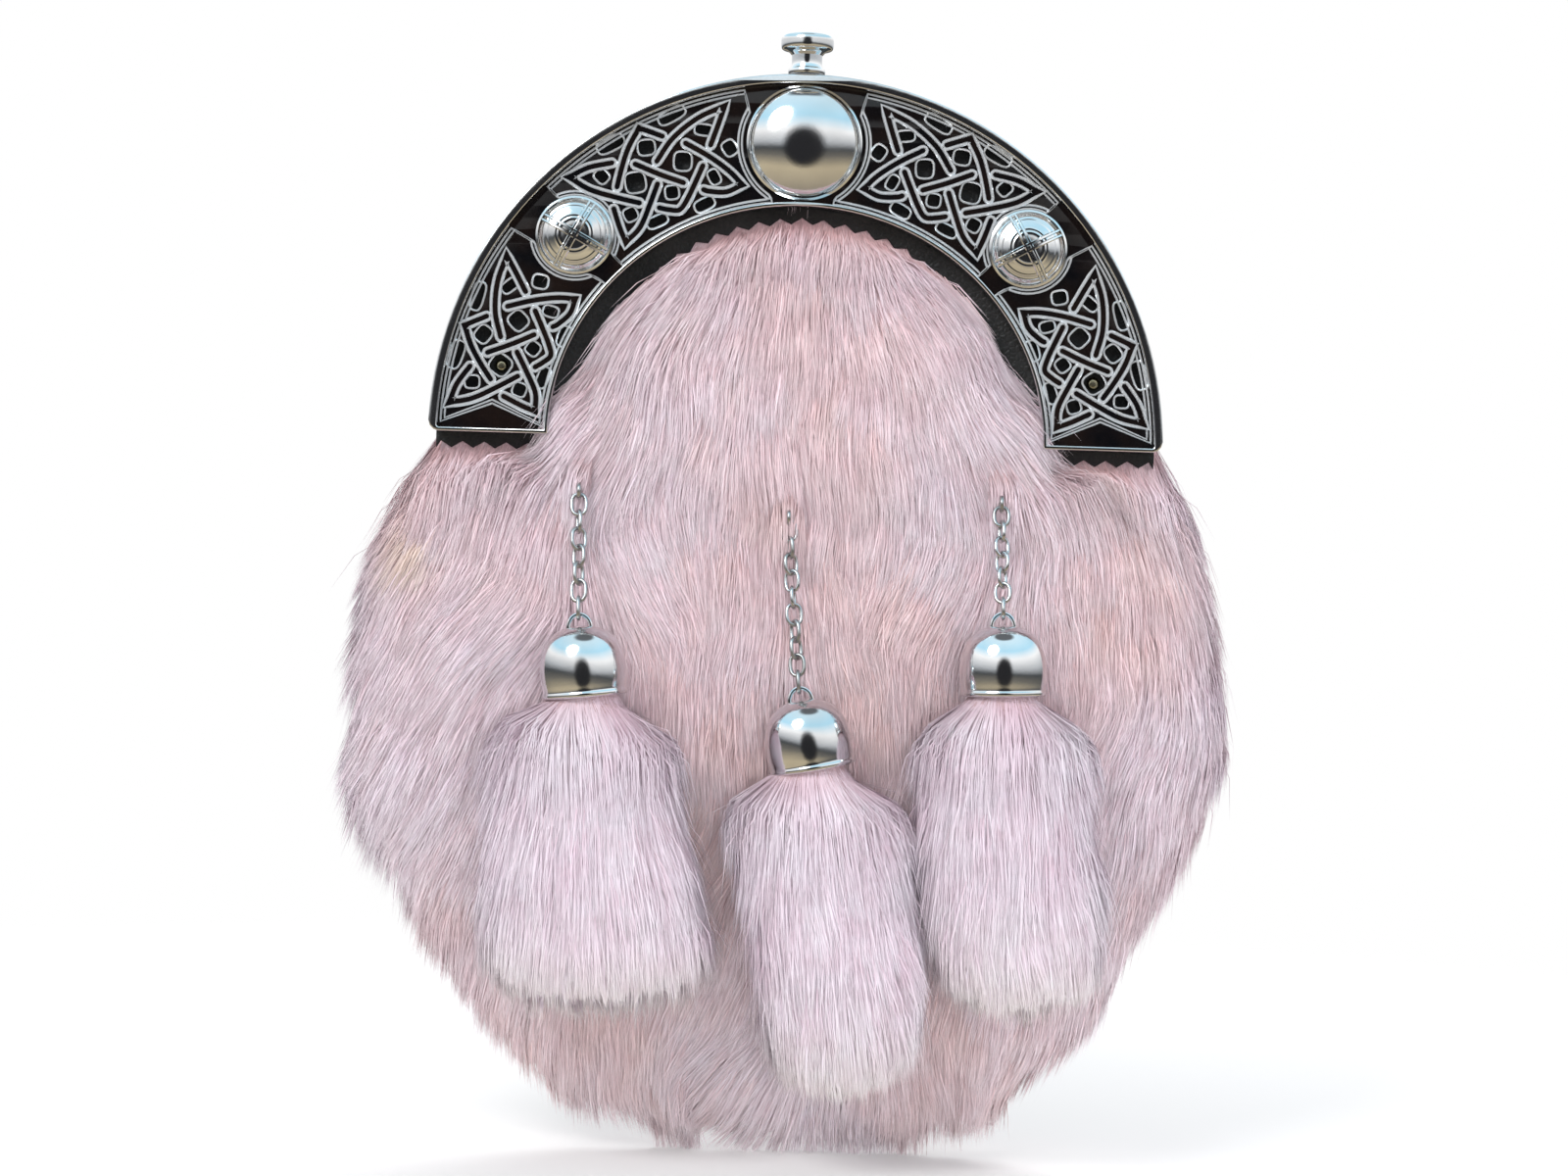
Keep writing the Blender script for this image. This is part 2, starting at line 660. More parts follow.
def strand_outline(points, half):
    """A closed outline round a strand, with rounded ends."""
    path = smooth_path([np.array(p) for p in points])
    outline = list(offset_side(path, half))
    for end, ahead in ((path[-1], path[-1] - path[-2]), (path[0], path[0] - path[1])):
        heading = math.atan2(ahead[1], ahead[0])
        for t in (60, 20, -20, -60):
            turn = heading + math.radians(t)
            outline.append(end + half * np.array((math.cos(turn), math.sin(turn))))
        if end is path[-1]:
            outline += list(reversed(offset_side(path, -half)))
    return without_loops(outline)


def cell_outline(panel, side, cell, extra=0.0):
    """A pierced cell: a rounded four-sided hole that follows the panel."""
    centre = panel_point(panel, side, cell["along"], cell["across"])
    angle = panel["from"] + (panel["to"] - panel["from"]) * cell["along"]
    heading = math.radians(-side * (angle + cell["turn"]))
    made = []
    for turn in np.linspace(0, 2 * math.pi, 20, endpoint=False):
        power = 0.62
        x = math.copysign(abs(math.cos(turn)) ** power, math.cos(turn))
        y = math.copysign(abs(math.sin(turn)) ** power, math.sin(turn))
        x *= cell["length"] / 2 + extra
        y *= cell["width"] / 2 + extra
        made.append(centre + np.array((
            x * math.cos(heading) - y * math.sin(heading),
            x * math.sin(heading) + y * math.cos(heading),
        )))
    return made


def all_panels():
    for panel in PANELS.values():
        for side in SIDES:
            yield panel, side


def knot_strands():
    """Outlines of every strand of all four panels."""
    made = []
    for panel, side in all_panels():
        for chart in STRANDS.values():
            points = [panel_point(panel, side, *p) for p in chart]
            made.append(strand_outline(points, STRAND["half"]))
    return made


def boss_centres():
    """The middle boss, then the left and the right one."""
    side = polar(SIDE_BOSS["reach"], SIDE_BOSS["angle"])
    centre = np.array((0, CENTRE_BOSS["height"]))
    return [centre, side * np.array((-1, 1)), side]


def circle(centre, radius, steps=24):
    turns = np.linspace(0, 2 * math.pi, steps, endpoint=False)
    return [centre + radius * np.array((math.cos(t), math.sin(t))) for t in turns]


# %% Enamelled ground
BOSS_HOLE = 1.8


def enamel_ground():
    holes = [cell_outline(panel, side, cell) for panel, side in all_panels() for cell in CELLS]
    holes += [circle(c, BOSS_HOLE, 12) for c in boss_centres()]
    plate = sheet_bmesh([arch_outline(0.6, 0.3, 0.3), *holes], PLATE_BACK, GROUND, 0.2, FOOT)
    top = GROUND + STRAND["bed"]
    beds = [sheet_bmesh([strand], GROUND - 0.2, top, 0.0, FOOT) for strand in knot_strands()]
    return finish_mesh(joined([plate, *beds]), "cantle_enamel", ENAMEL)


register(enamel_ground(), "black_enamel", "cantle_plate")


# %% Bright rim and knotwork
def rim_bmesh():
    outer = arch_outline(0, 0, 0)
    inner = arch_outline(RIM["outer"], RIM["inner"], RIM["inner"])
    return sheet_bmesh([outer, inner], PLATE_BACK, RIM_FRONT, 0.28, FOOT)


def end_curve(start, finish, centre, radius, steps=26):
    """A line from start to finish, pushed out where it would run inside a boss."""
    made = []
    for t in np.linspace(0, 1, steps):
        point = start + (finish - start) * t
        away = point - centre
        reach = np.hypot(*away)
        if reach < radius:
            point = centre + away / max(reach, 1e-6) * radius
        made.append(point)
    return made


def panel_outline(name, panel, side, grow):
    """The line round a panel. grow moves it outwards."""
    outer = ARCH["outer"] - RIM["outer"] - BORDER["rim_gap"] + grow
    outline = [polar(outer, a) for a in np.linspace(*panel["outer"], 30)]
    inset = RIM["inner"] + BORDER["inner_gap"] - grow
    inner = [polar(inner_reach(a) + inset, a) for a in np.linspace(*panel["inner"][::-1], 30)]
    near, _, far = boss_centres()
    round_near = CENTRE_BOSS["radius"] + BORDER["centre_gap"] - grow
    round_far = SIDE_BOSS["radius"] + BORDER["side_gap"] - grow
    if name == "upper":
        outline += end_curve(outline[-1], inner[0], far, round_far)[1:-1]
        start = end_curve(inner[-1], outline[0], near, round_near)[1:-1]
    else:
        foot = BORDER["foot"] - grow
        outline = [p for p in outline if p[1] > foot + 0.6]
        outline.append(np.array((outline[-1][0], foot)))
        inner = [p for p in inner if p[1] > foot]
        apex = np.array(BORDER["apex"]) - np.array((0, grow))
        outline += [apex, np.array((inner[0][0], foot - 0.6))]
        start = end_curve(inner[-1], outline[0], far, round_far)[1:-1]
    return [p * np.array((side, 1)) for p in without_loops(outline + inner + start, 0.15)]


def knot_bmesh():
    return bead_bmesh(knot_strands(), STRAND["bead"], GROUND + STRAND["bed"] + 0.05, FOOT)


def border_bmesh():
    lines = []
    for name, panel in PANELS.items():
        for side in SIDES:
            lines.append(panel_outline(name, panel, side, BORDER["half"]))
            lines.append(panel_outline(name, panel, side, -BORDER["half"]))
    return bead_bmesh(lines, BORDER["bead"], GROUND + 0.14, FOOT)


def cell_rim_bmesh():
    grow = CELL_RIM["grow"]
    lines = [cell_outline(panel, side, cell, grow) for panel, side in all_panels() for cell in CELLS]
    return bead_bmesh(lines, CELL_RIM["bead"], GROUND + 0.06, FOOT, sides=0)


cantle_rim = finish_mesh(rim_bmesh(), "cantle_rim", CHROME)
register(cantle_rim, "polished_metal", "cantle_plate")
relief = joined([knot_bmesh(), border_bmesh(), cell_rim_bmesh()])
cantle_relief = finish_mesh(relief, "cantle_relief", CAST_SILVER)
register(cantle_relief, "polished_metal", "cantle_plate")

# %% [markdown]
# Three domes sit on the cantle, each on a short stem and a low step. The middle one is plain. The
# side ones carry rings and a cross of paired lines, turned by about thirty degrees and mirrored.
# The rings are part of the turned profile, and the cross is four beads laid on the dome.

# %% Bosses
DOME = {"stem": 1.5, "stem_length": 4.8, "step": 0.8, "edge": 0.45, "ring": 0.14, "ring_half": 0.16,
        "stand": 0.3}


def dome_height(rise, sine):
    return DOME["step"] + (rise - DOME["step"]) * sine


def dome_profile(radius, rise, rings=(), steps=44):
    stem, length = DOME["stem"], DOME["stem_length"]
    profile = [(0, -length), (stem, -length), (stem, 0), (radius - 0.3, 0), (radius, 0.25),
               (radius, 0.7)]
    for i in range(1, steps + 1):
        turn = math.pi / 2 * i / steps
        reach = (radius - DOME["edge"]) * math.cos(turn)
        height = dome_height(rise, math.sin(turn))
        for ring in rings:
            height += DOME["ring"] * math.exp(-(((reach - ring) / DOME["ring_half"]) ** 2))
        profile.append((max(reach, 0), height))
    return profile


def cross_lines(radius, rise, centre, turn):
    """Two pairs of lines at right angles that follow a dome."""
    made = []
    for arm in (0, 90):
        heading = math.radians(turn + arm)
        along = np.array((math.cos(heading), math.sin(heading)))
        across = np.array((-along[1], along[0]))
        for gap in (-SIDE_BOSS["line_gap"], SIDE_BOSS["line_gap"]):
            line = []
            for reach in np.linspace(-1, 1, 19) * (radius - 0.9):
                spot = centre + along * reach + across * gap
                share = min(math.hypot(reach, gap) / (radius - DOME["edge"]), 1)
                line.append((spot[0], spot[1], dome_height(rise, math.sqrt(1 - share**2))))
            made.append(line)
    return made


def boss_dome(boss, centre, rings, steps):
    placing = axis_to_front(centre[0], FOOT + centre[1], GROUND + DOME["stand"])
    return turned_bmesh(dome_profile(boss["radius"], boss["rise"], rings), steps, placing)


def side_boss(side):
    centre = boss_centres()[1 if side < 0 else 2]
    dome = boss_dome(SIDE_BOSS, centre, SIDE_BOSS["rings"], 72)
    turn = side * SIDE_BOSS["turn"]
    lines = cross_lines(SIDE_BOSS["radius"], SIDE_BOSS["rise"], centre, turn)
    cross = bead_bmesh(lines, SIDE_BOSS["line"], GROUND + DOME["stand"] + 0.15, FOOT, closed=False)
    name = f"side_boss_{SIDES[side]}"
    piece = finish_mesh(joined([dome, cross]), name + "_dome", CHROME)
    return register(piece, "polished_metal", name)


def centre_boss():
    dome = boss_dome(CENTRE_BOSS, boss_centres()[0], (), 96)
    return register(finish_mesh(dome, "centre_dome", CHROME), "polished_metal", "centre_boss")


centre_boss()
for side in SIDES:
    side_boss(side)


# %% [markdown]
# The knob on top is one turned form on a short neck. Its profile is drawn by a few points of
# (radius, height) and smoothed. The brass rivets lie behind the piercing, one in a cell on each
# side.


# %% Knob and cantle rivets
def smooth_profile(points, steps=5, corner=40):
    return [tuple(p) for p in smooth_path([np.array(p, float) for p in points], steps, corner)]


def knob():
    foot = ARCH["outer"] + 0.3
    low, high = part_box("finial")
    profile = [
        (0, 0), (4.1, 0), (4.2, 0.5), (4.1, 1.1), (3.6, 1.4), (3.4, 2.4), (3.45, 4.2), (4.2, 5.0),
        (5.5, 5.45), (5.85, 6.0), (5.9, 7.0), (5.8, 8.0), (5.2, 8.6), (3.0, 9.05), (0, 9.25),
    ]
    placing = Matrix.Translation((0, (low.y + high.y) / 2, (FOOT + foot) * MM))
    bm = turned_bmesh(smooth_profile(profile, 4), 64, placing)
    return register(finish_mesh(bm, "finial_knob", CHROME), "polished_metal", "finial")


def cantle_rivet(side):
    cell = CELLS[RIVET_CELL]
    x, z = panel_point(PANELS["lower"], side, cell["along"], cell["across"])
    name = f"cantle_rivet_{SIDES[side]}"
    low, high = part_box(name)
    back, front = -high.y / MM, -low.y / MM
    rise = front - back
    profile = [(0, 0), (0.9, 0), (0.9, rise - 1.05), (1.5, rise - 1.0), (1.45, rise - 0.6),
               (1.1, rise - 0.15), (0.6, rise - 0.02), (0, rise)]
    bm = turned_bmesh(smooth_profile(profile, 3), 28, axis_to_front(x, FOOT + z, back))
    return register(finish_mesh(bm, name + "_head", RIVET_BRASS), "rivet_brass", name)


knob()
for side in SIDES:
    cantle_rivet(side)

# %% [markdown]
# Behind the cantle lies a sheet of black leather whose edge was cut with pinking shears. The zigzag
# shows inside the arch and below the feet. Further back are the stiff leather panel, the flap that
# closes the pocket, the strip over the top of the arch and the two tabs that hold the belt rings.

# %% Cantle leather
LEATHER_SHOW = [(0, 3.4), (28, 4.2), (58, 6.8), (78, 5.4), (90, 5.0)]
TOOTH = {"pitch": 4.8, "depth": 1.5}
FOOT_STRIP = 3.4


def leather_reach(angle):
    angles, widths = zip(*LEATHER_SHOW)
    return inner_reach(angle) - float(np.interp(abs(angle), angles, widths))


def pinked_line(start, finish):
    teeth = round(abs(finish - start) / TOOTH["pitch"])
    across = np.linspace(start, finish, 2 * teeth + 1)
    drops = [FOOT_STRIP - (TOOTH["depth"] if i % 2 == 0 else 0) for i in range(2 * teeth + 1)]
    return [np.array((x, -drop)) for x, drop in zip(across, drops)]


def pinked_leather():
    low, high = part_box("cantle_leather")
    outer = high.x / MM
    lean = math.degrees(math.asin(FOOT_STRIP / outer))
    outline = [polar(outer, a) for a in np.linspace(-90 - lean, 90 + lean, 90)]
    outline += pinked_line(outer - 1, leather_reach(90))
    teeth = round(math.pi * leather_reach(45) / TOOTH["pitch"])
    for i in range(2 * teeth + 1):
        angle = 90 - 180 * i / (2 * teeth)
        outline.append(polar(leather_reach(angle) + (0 if i % 2 else TOOTH["depth"]), angle))
    outline += pinked_line(-leather_reach(90), -outer + 1)
    bm = sheet_bmesh([outline], -high.y / MM, -low.y / MM, 0.25, FOOT)
    return register(finish_mesh(bm, "pinked_leather", LEATHER), "black_leather", "cantle_leather")


pinked_leather()

# %% [markdown]
# The back is plain leather work: one panel, a flap over the pocket's mouth and a strip over the
# top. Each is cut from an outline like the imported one, with its edges rounded. The panel and the
# flap are stitched a little inside the edge. A stitch is a short bead, repeated along the line by a
# loop.

# %% Leather outlines of the back
FLAP = {"top": 12, "bottom": -46, "half": 68, "corner": 22, "sag": 10}
MOUTH = {"top": 3, "bottom": -22, "half": 60, "corner": 5}
STUD_HEIGHT = -36
GUSSET = {"outer": 78, "wall": 2.4, "angle": 78}
PANEL_SIDE = [(-12, 77.3), (-26, 82), (-48, 85), (-66, 86.2), (-79, 85.5), (-92, 79.3),
              (-106, 71.8), (-121, 62.8), (-135, 44), (-141, 24), (-142, 8), (-142, 0)]


def bend(start, pull, finish, steps=8):
    """Points of a quadratic bend, without its last one."""
    start, pull, finish = (np.array(p, float) for p in (start, pull, finish))
    return [
        (1 - t) ** 2 * start + 2 * t * (1 - t) * pull + t**2 * finish
        for t in np.arange(steps) / steps
    ]


def mouth_outline():
    half, top, bottom, corner = (MOUTH[k] for k in ("half", "top", "bottom", "corner"))
    made = bend((-half, top - corner), (-half, top), (-half + corner, top))
    made += bend((half - corner, top), (half, top), (half, top - corner))
    made += bend((half, bottom + corner), (half, bottom), (half - corner, bottom))
    return made + bend((-half + corner, bottom), (-half, bottom), (-half, bottom + corner))


def back_outline(inset=0.0):
    reach = ARCH["outer"] - 3 - inset
    made = [polar(reach, a) for a in np.linspace(-90, 90, 60)]
    side = smooth_path([np.array((w - inset, z)) for z, w in PANEL_SIDE], 4, 200)
    side = [p + np.array((0, inset * min(max(-p[1] - 100, 0) / 40, 1))) for p in side]
    made += side
    return made + [p * np.array((-1, 1)) for p in reversed(side[:-1])]


def flap_outline(inset=0.0):
    half, top, corner, sag = FLAP["half"] - inset, FLAP["top"] - inset, FLAP["corner"], FLAP["sag"]
    bottom = FLAP["bottom"] + inset
    side, turn, hem = bottom + corner + sag, bottom + sag * 0.8, bottom + sag * 0.6
    made = [np.array((-half, top))]
    made += bend((-half, side), (-half, turn), (-half + corner, hem))
    made += bend((-half + corner, hem), (0, hem - sag), (half - corner, hem), 16)
    made += bend((half - corner, hem), (half, turn), (half, side))
    return made + [np.array((half, side)), np.array((half, top))]


def strip_outline():
    outer, inner = GUSSET["outer"], GUSSET["outer"] - GUSSET["wall"]
    turns = np.linspace(-GUSSET["angle"], GUSSET["angle"], 80)
    return [polar(outer, a) for a in turns] + [polar(inner, a) for a in reversed(turns)]


# %% Leather pieces of the back
def leather_piece(node, name, outlines, edge):
    low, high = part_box(node)
    bm = sheet_bmesh(outlines, -high.y / MM, -low.y / MM, edge, FOOT)
    return register(finish_mesh(bm, name, LEATHER), "black_leather", node)


stud_hole = circle(np.array((0, STUD_HEIGHT)), 2.1, 16)
panel_cuts = [back_outline(), mouth_outline(), stud_hole]
leather_piece("back_panel", "back_panel_leather", panel_cuts, 0.5)
leather_piece("back_flap", "flap_leather", [flap_outline(), stud_hole], 0.5)
leather_piece("top_gusset", "top_strip", [strip_outline()], 0.3)


# %% Stitches
STITCH = {"inset": 4.0, "pitch": 3.4, "length": 2.3, "wire": 0.3}


def evenly(path, pitch):
    """Points and headings at even steps along a path."""
    points = np.array(path)
    steps = np.hypot(*np.diff(points, axis=0).T)
    total = np.concatenate(([0], np.cumsum(steps)))
    count = int(total[-1] / pitch)
    places = (np.arange(count) + 0.5) * total[-1] / count
    x = np.interp(places, total, points[:, 0])
    z = np.interp(places, total, points[:, 1])
    ahead = np.interp(np.minimum(places + 0.5, total[-1]), total, points[:, 0]) - x
    rise = np.interp(np.minimum(places + 0.5, total[-1]), total, points[:, 1]) - z
    length = np.hypot(ahead, rise) + 1e-9
    return zip(x, z, ahead / length, rise / length)


def stitches(name, outline, rear):
    """Stitches round an outline on a rear face. Both ends of each one dip into the leather."""
    lines = []
    for x, z, along, rise in evenly(outline + [outline[0]], STITCH["pitch"]):
        line = []
        for share, lift in ((-0.5, -0.28), (-0.3, 0.08), (0, 0.16), (0.3, 0.08), (0.5, -0.28)):
            reach = STITCH["length"] * share
            line.append((x + along * reach, z + rise * reach, -lift))
        lines.append(line)
    bm = bead_bmesh(lines, STITCH["wire"], rear, FOOT, closed=False, sides=0)
    return register(finish_mesh(bm, name, THREAD), "black_leather")


panel_rear = -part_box("back_panel")[1].y / MM
flap_rear = -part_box("back_flap")[1].y / MM
stitches("panel_stitches", back_outline(STITCH["inset"]), panel_rear)
stitches("flap_stitches", flap_outline(STITCH["inset"]), flap_rear)


# %% [markdown]
# Each belt ring hangs in a leather tab: a strap end folded round the ring's straight bar and
# riveted below it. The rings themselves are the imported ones, welded and subdivided until the wire
# reads as round, and a stud keeps the flap shut.

# %% Belt tabs, rings and studs
LOOP = {"x": 46, "top": 50, "height": 11, "wire": 1.5}
BAR = LOOP["top"] - LOOP["height"] - LOOP["wire"]
TAB = {"width": 16, "wall": 1.6, "tail": 19, "thick": 3, "gap": 0.3, "edge": 0.35, "rivet": 12}


def belt_tab(side):
    """A strap end folded round the ring's bar, drawn from the side and given its width."""
    inner = LOOP["wire"] + TAB["gap"]
    outer = inner + TAB["wall"]
    face = TAB["thick"] - outer
    leave = -math.degrees(math.acos(face / outer))
    fold = [(outer * math.cos(math.radians(a)), outer * math.sin(math.radians(a)))
            for a in np.linspace(180, leave, 30)]
    outline = [(-outer, -TAB["tail"]), *fold, (face, -TAB["tail"])]
    hole = circle(np.zeros(2), inner, 28)
    curve = bpy.data.curves.new("tab", "CURVE")
    curve.dimensions = "2D"
    curve.fill_mode = "BOTH"
    curve.extrude = (TAB["width"] / 2 - TAB["edge"]) * MM
    curve.bevel_depth = TAB["edge"] * MM
    curve.offset = -TAB["edge"] * MM
    add_splines(curve, [outline, hole])
    across = Matrix(((0, 0, 1, side * LOOP["x"] * MM), (1, 0, 0, 0), (0, 1, 0, (FOOT + BAR) * MM),
                     (0, 0, 0, 1)))
    bm = curve_to_bmesh(curve, across)
    name = f"ring_tab_{SIDES[side]}"
    piece = finish_mesh(bm, name + "_strap", LEATHER)
    return register(piece, "black_leather", name)


def merged_copy(node):
    """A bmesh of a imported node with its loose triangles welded."""
    bm = bmesh.new()
    bm.from_mesh(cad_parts[node].data)
    bmesh.ops.remove_doubles(bm, verts=bm.verts, dist=WELD)
    bmesh.ops.join_triangles(
        bm, faces=bm.faces, angle_face_threshold=0.7, angle_shape_threshold=3.0,
    )
    return bm


def rounded_wire(nodes, name, swell, levels):
    """Packed wire forms, welded, swelled a little and subdivided, so that they read as round."""
    parts = []
    for node in nodes:
        bm = merged_copy(node)
        bm.normal_update()
        for vert in bm.verts:
            vert.co += vert.normal * swell * MM
        parts.append(bm)
    piece = finish_mesh(joined(parts), name, CHAIN_STEEL, NO_SHARP_EDGES)
    smooth = piece.modifiers.new("smooth", "SUBSURF")
    smooth.levels = smooth.render_levels = levels
    return register(piece, "chain_steel", *nodes)


def back_stud(node, x, height, radius, rise):
    """A turned head on the leather's rear face, with its post reaching in."""
    low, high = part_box(node)
    rear = -high.y / MM
    depth = -low.y / MM - rear
    profile = [(0, -depth), (1.1, -depth), (1.1, -rise), (radius, -rise), (radius, -rise * 0.7),
               (radius * 0.8, -rise * 0.25), (radius * 0.45, -0.02), (0, 0)]
    placing = Matrix.Translation((x * MM, -rear * MM, (FOOT + height) * MM))
    placing = placing @ Matrix.Rotation(-math.pi / 2, 4, "X")
    bm = turned_bmesh(smooth_profile(profile, 3), 40, placing)
    return register(finish_mesh(bm, node + "_head", CHAIN_STEEL), "chain_steel", node)


for side in SIDES:
    belt_tab(side)
for end in SIDES.values():
    rounded_wire([f"d_ring_{end}"], f"belt_ring_{end}", swell=0.06, levels=2)
back_stud("flap_stud", 0, STUD_HEIGHT, radius=6, rise=2.2)
for side, end in SIDES.items():
    back_stud(f"tab_rivet_{end}", side * LOOP["x"], BAR - TAB["rivet"], radius=2.8, rise=1.2)

# %% [markdown]
# Each tassel hangs from a small chain of oval links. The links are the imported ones, welded and
# subdivided so that the wire reads as round. The caps are turned bells with a squashed dome, a
# straight side and a small lip, and a wire arch on top that the last link passes through.

# %% Chains
LINKS = {"left": 7, "middle": 10, "right": 7}
for end, count in LINKS.items():
    links = [f"chain_link_{end}_{k:02d}" for k in range(1, count + 1)]
    rounded_wire([*links, f"chain_staple_{end}"], f"chain_{end}", swell=0.16, levels=1)

# %% Caps
CAPS = {
    "left": {"x": -45.9, "top": -42.6, "tilt": 6.8},
    "middle": {"x": 2.9, "top": -57.2, "tilt": 11.7},
    "right": {"x": 46.6, "top": -39.6, "tilt": 1.8},
}
CAP_DEPTH = 52.4
CAP_OUTSIDE = [(0, 0), (1.6, 0.05), (3.2, 0.3), (5.0, 0.95), (6.6, 2.0), (8.0, 3.6), (8.9, 5.6),
               (9.4, 8.0), (9.56, 10.4), (9.45, 12.4), (9.28, 13.6), (9.26, 14.1), (9.4, 14.5),
               (9.4, 15.0), (9.1, 15.4), (8.5, 15.4), (8.1, 15.2), (8.1, 12.0), (7.8, 8.0),
               (5.2, 3.6), (0, 2.1)]
CAP_EYE = {"half": 2.5, "rise": 2.6, "wire": 0.45}


def cap_place(cap):
    spot = Matrix.Translation((cap["x"] * MM, -CAP_DEPTH * MM, (FOOT + cap["top"]) * MM))
    return spot @ Matrix.Rotation(math.radians(-cap["tilt"]), 4, "Y")


def tassel_cap(end):
    placing = cap_place(CAPS[end])
    bell = turned_bmesh(
        smooth_profile([(r, -drop) for r, drop in CAP_OUTSIDE], 3, 70), 72, placing
    )
    arch = []
    for turn in np.linspace(-12, 192, 26):
        a = math.radians(turn)
        arch.append((CAP_EYE["half"] * math.cos(a), (CAP_EYE["rise"] + 0.4) * math.sin(a) - 0.4))
    curve = bpy.data.curves.new("eye", "CURVE")
    curve.dimensions = "3D"
    curve.bevel_depth = CAP_EYE["wire"] * MM
    curve.bevel_resolution = 3
    add_splines(curve, [arch], closed=False)
    eye = curve_to_bmesh(curve, placing @ Matrix.Rotation(math.pi / 2, 4, "X"))
    piece = finish_mesh(joined([bell, eye]), f"bell_cap_{end}", CHROME)
    return register(piece, "polished_metal", f"tassel_cap_{end}")


for end in CAPS:
    tassel_cap(end)

# %% [markdown]
# The fur is what one sees most of. A particle system would be lost in the export, so the hair is
# a mesh: each hair is a narrow tapering ribbon, and all of them are made at once with numpy.
# First a skin is made under the fur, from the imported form: it is welded, remeshed to an even
# grid, smoothed and drawn in by the depth of the fur, which a function gives for each place.


# %% Skins
def soften(bm, rounds):
    for _ in range(rounds):
        bmesh.ops.smooth_vert(bm, verts=bm.verts, factor=0.5, use_axis_x=True, use_axis_y=True,
                              use_axis_z=True)


def skin_of(node, name, material, voxel, rounds, drawn):
    """The hide under a packed soft form. drawn gives the depth in mm for a place and normal."""
    bm = bmesh.new()
    bm.from_mesh(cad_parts[node].data)
    bmesh.ops.remove_doubles(bm, verts=bm.verts, dist=WELD)
    skin = finish_mesh(bm, name, material, NO_SHARP_EDGES)
    remesh = skin.modifiers.new("remesh", "REMESH")
    remesh.mode = "VOXEL"
    remesh.voxel_size = voxel * MM
    ready = skin.evaluated_get(bpy.context.evaluated_depsgraph_get())
    even = bpy.data.meshes.new_from_object(ready)
    skin.modifiers.clear()
    bm = bmesh.new()
    bm.from_mesh(even)
    soften(bm, rounds)
    bm.normal_update()
    for vert in bm.verts:
        vert.co -= vert.normal * drawn(vert.co / MM - Vector((0, 0, FOOT)), vert.normal) * MM
    soften(bm, rounds)
    for face in bm.faces:
        face.smooth = True
    bm.to_mesh(skin.data)
    bm.free()
    return skin


# %% [markdown]
# Hair colour is stored on the hair itself, as a colour attribute, because it changes from root to
# tip as well as from place to place. The material only adds faint patches and a soft sheen.


# %% Fur materials
def fur_material(name, sheen_tint):
    material, tree, shader = new_material(
        name, {"Roughness": 0.62, "Specular IOR Level": 0.28, "Sheen Weight": 0.25,
               "Sheen Roughness": 0.4, "Sheen Tint": (*sheen_tint, 1)},
    )
    tint = tree.nodes.new("ShaderNodeVertexColor")
    tint.layer_name = "tint"
    speckle = place_group(tree, PATCHES, Patch_Scale=220.0)
    shade = tree.nodes.new("ShaderNodeMix")
    shade.data_type = "RGBA"
    shade.blend_type = "MULTIPLY"
    shade.inputs["Factor"].default_value = 1.0
    patchy = ramp(tree, speckle.outputs["Patch"], 0, 1)
    dimmed = mix_colours(tree, patchy, (1, 1, 1), (0.94, 0.90, 0.91))
    tree.links.new(tint.outputs["Color"], shade.inputs["A"])
    tree.links.new(dimmed, shade.inputs["B"])
    tree.links.new(shade.outputs["Result"], shader.inputs["Base Color"])
    return material


def hide_material(name, pale, deep):
    material, tree, shader = new_material(name, {"Roughness": 0.8})
    felt = place_group(tree, PATCHES, Patch_Scale=120.0, Fine_Scale=1800.0)
    colour = mix_colours(tree, ramp(tree, felt.outputs["Patch"], 0, 1), pale, deep)
    tree.links.new(colour, shader.inputs["Base Color"])
    add_bump(tree, shader, felt.outputs["Fine"], strength=0.8, distance=0.0006)
    return material


PINK_FUR = fur_material("pink_fur", (1.0, 0.86, 0.90))
TASSEL_FUR = fur_material("tassel_fur", (1.0, 0.92, 0.97))
HIDE = hide_material("pink_hide", (0.70, 0.50, 0.52), (0.58, 0.38, 0.39))
TASSEL_HIDE = hide_material("tassel_hide", (0.66, 0.48, 0.52), (0.50, 0.33, 0.36))

# %% [markdown]
# Hair lies the way it was combed and pressed. The comb table gives that direction at a few places
# on the front: x and z from the cantle's foot, the lean from straight down in degrees, positive to
# the right. Between those places the lean is blended, and a smooth ripple makes it wander. Near
# the chains the hair parts to both sides.

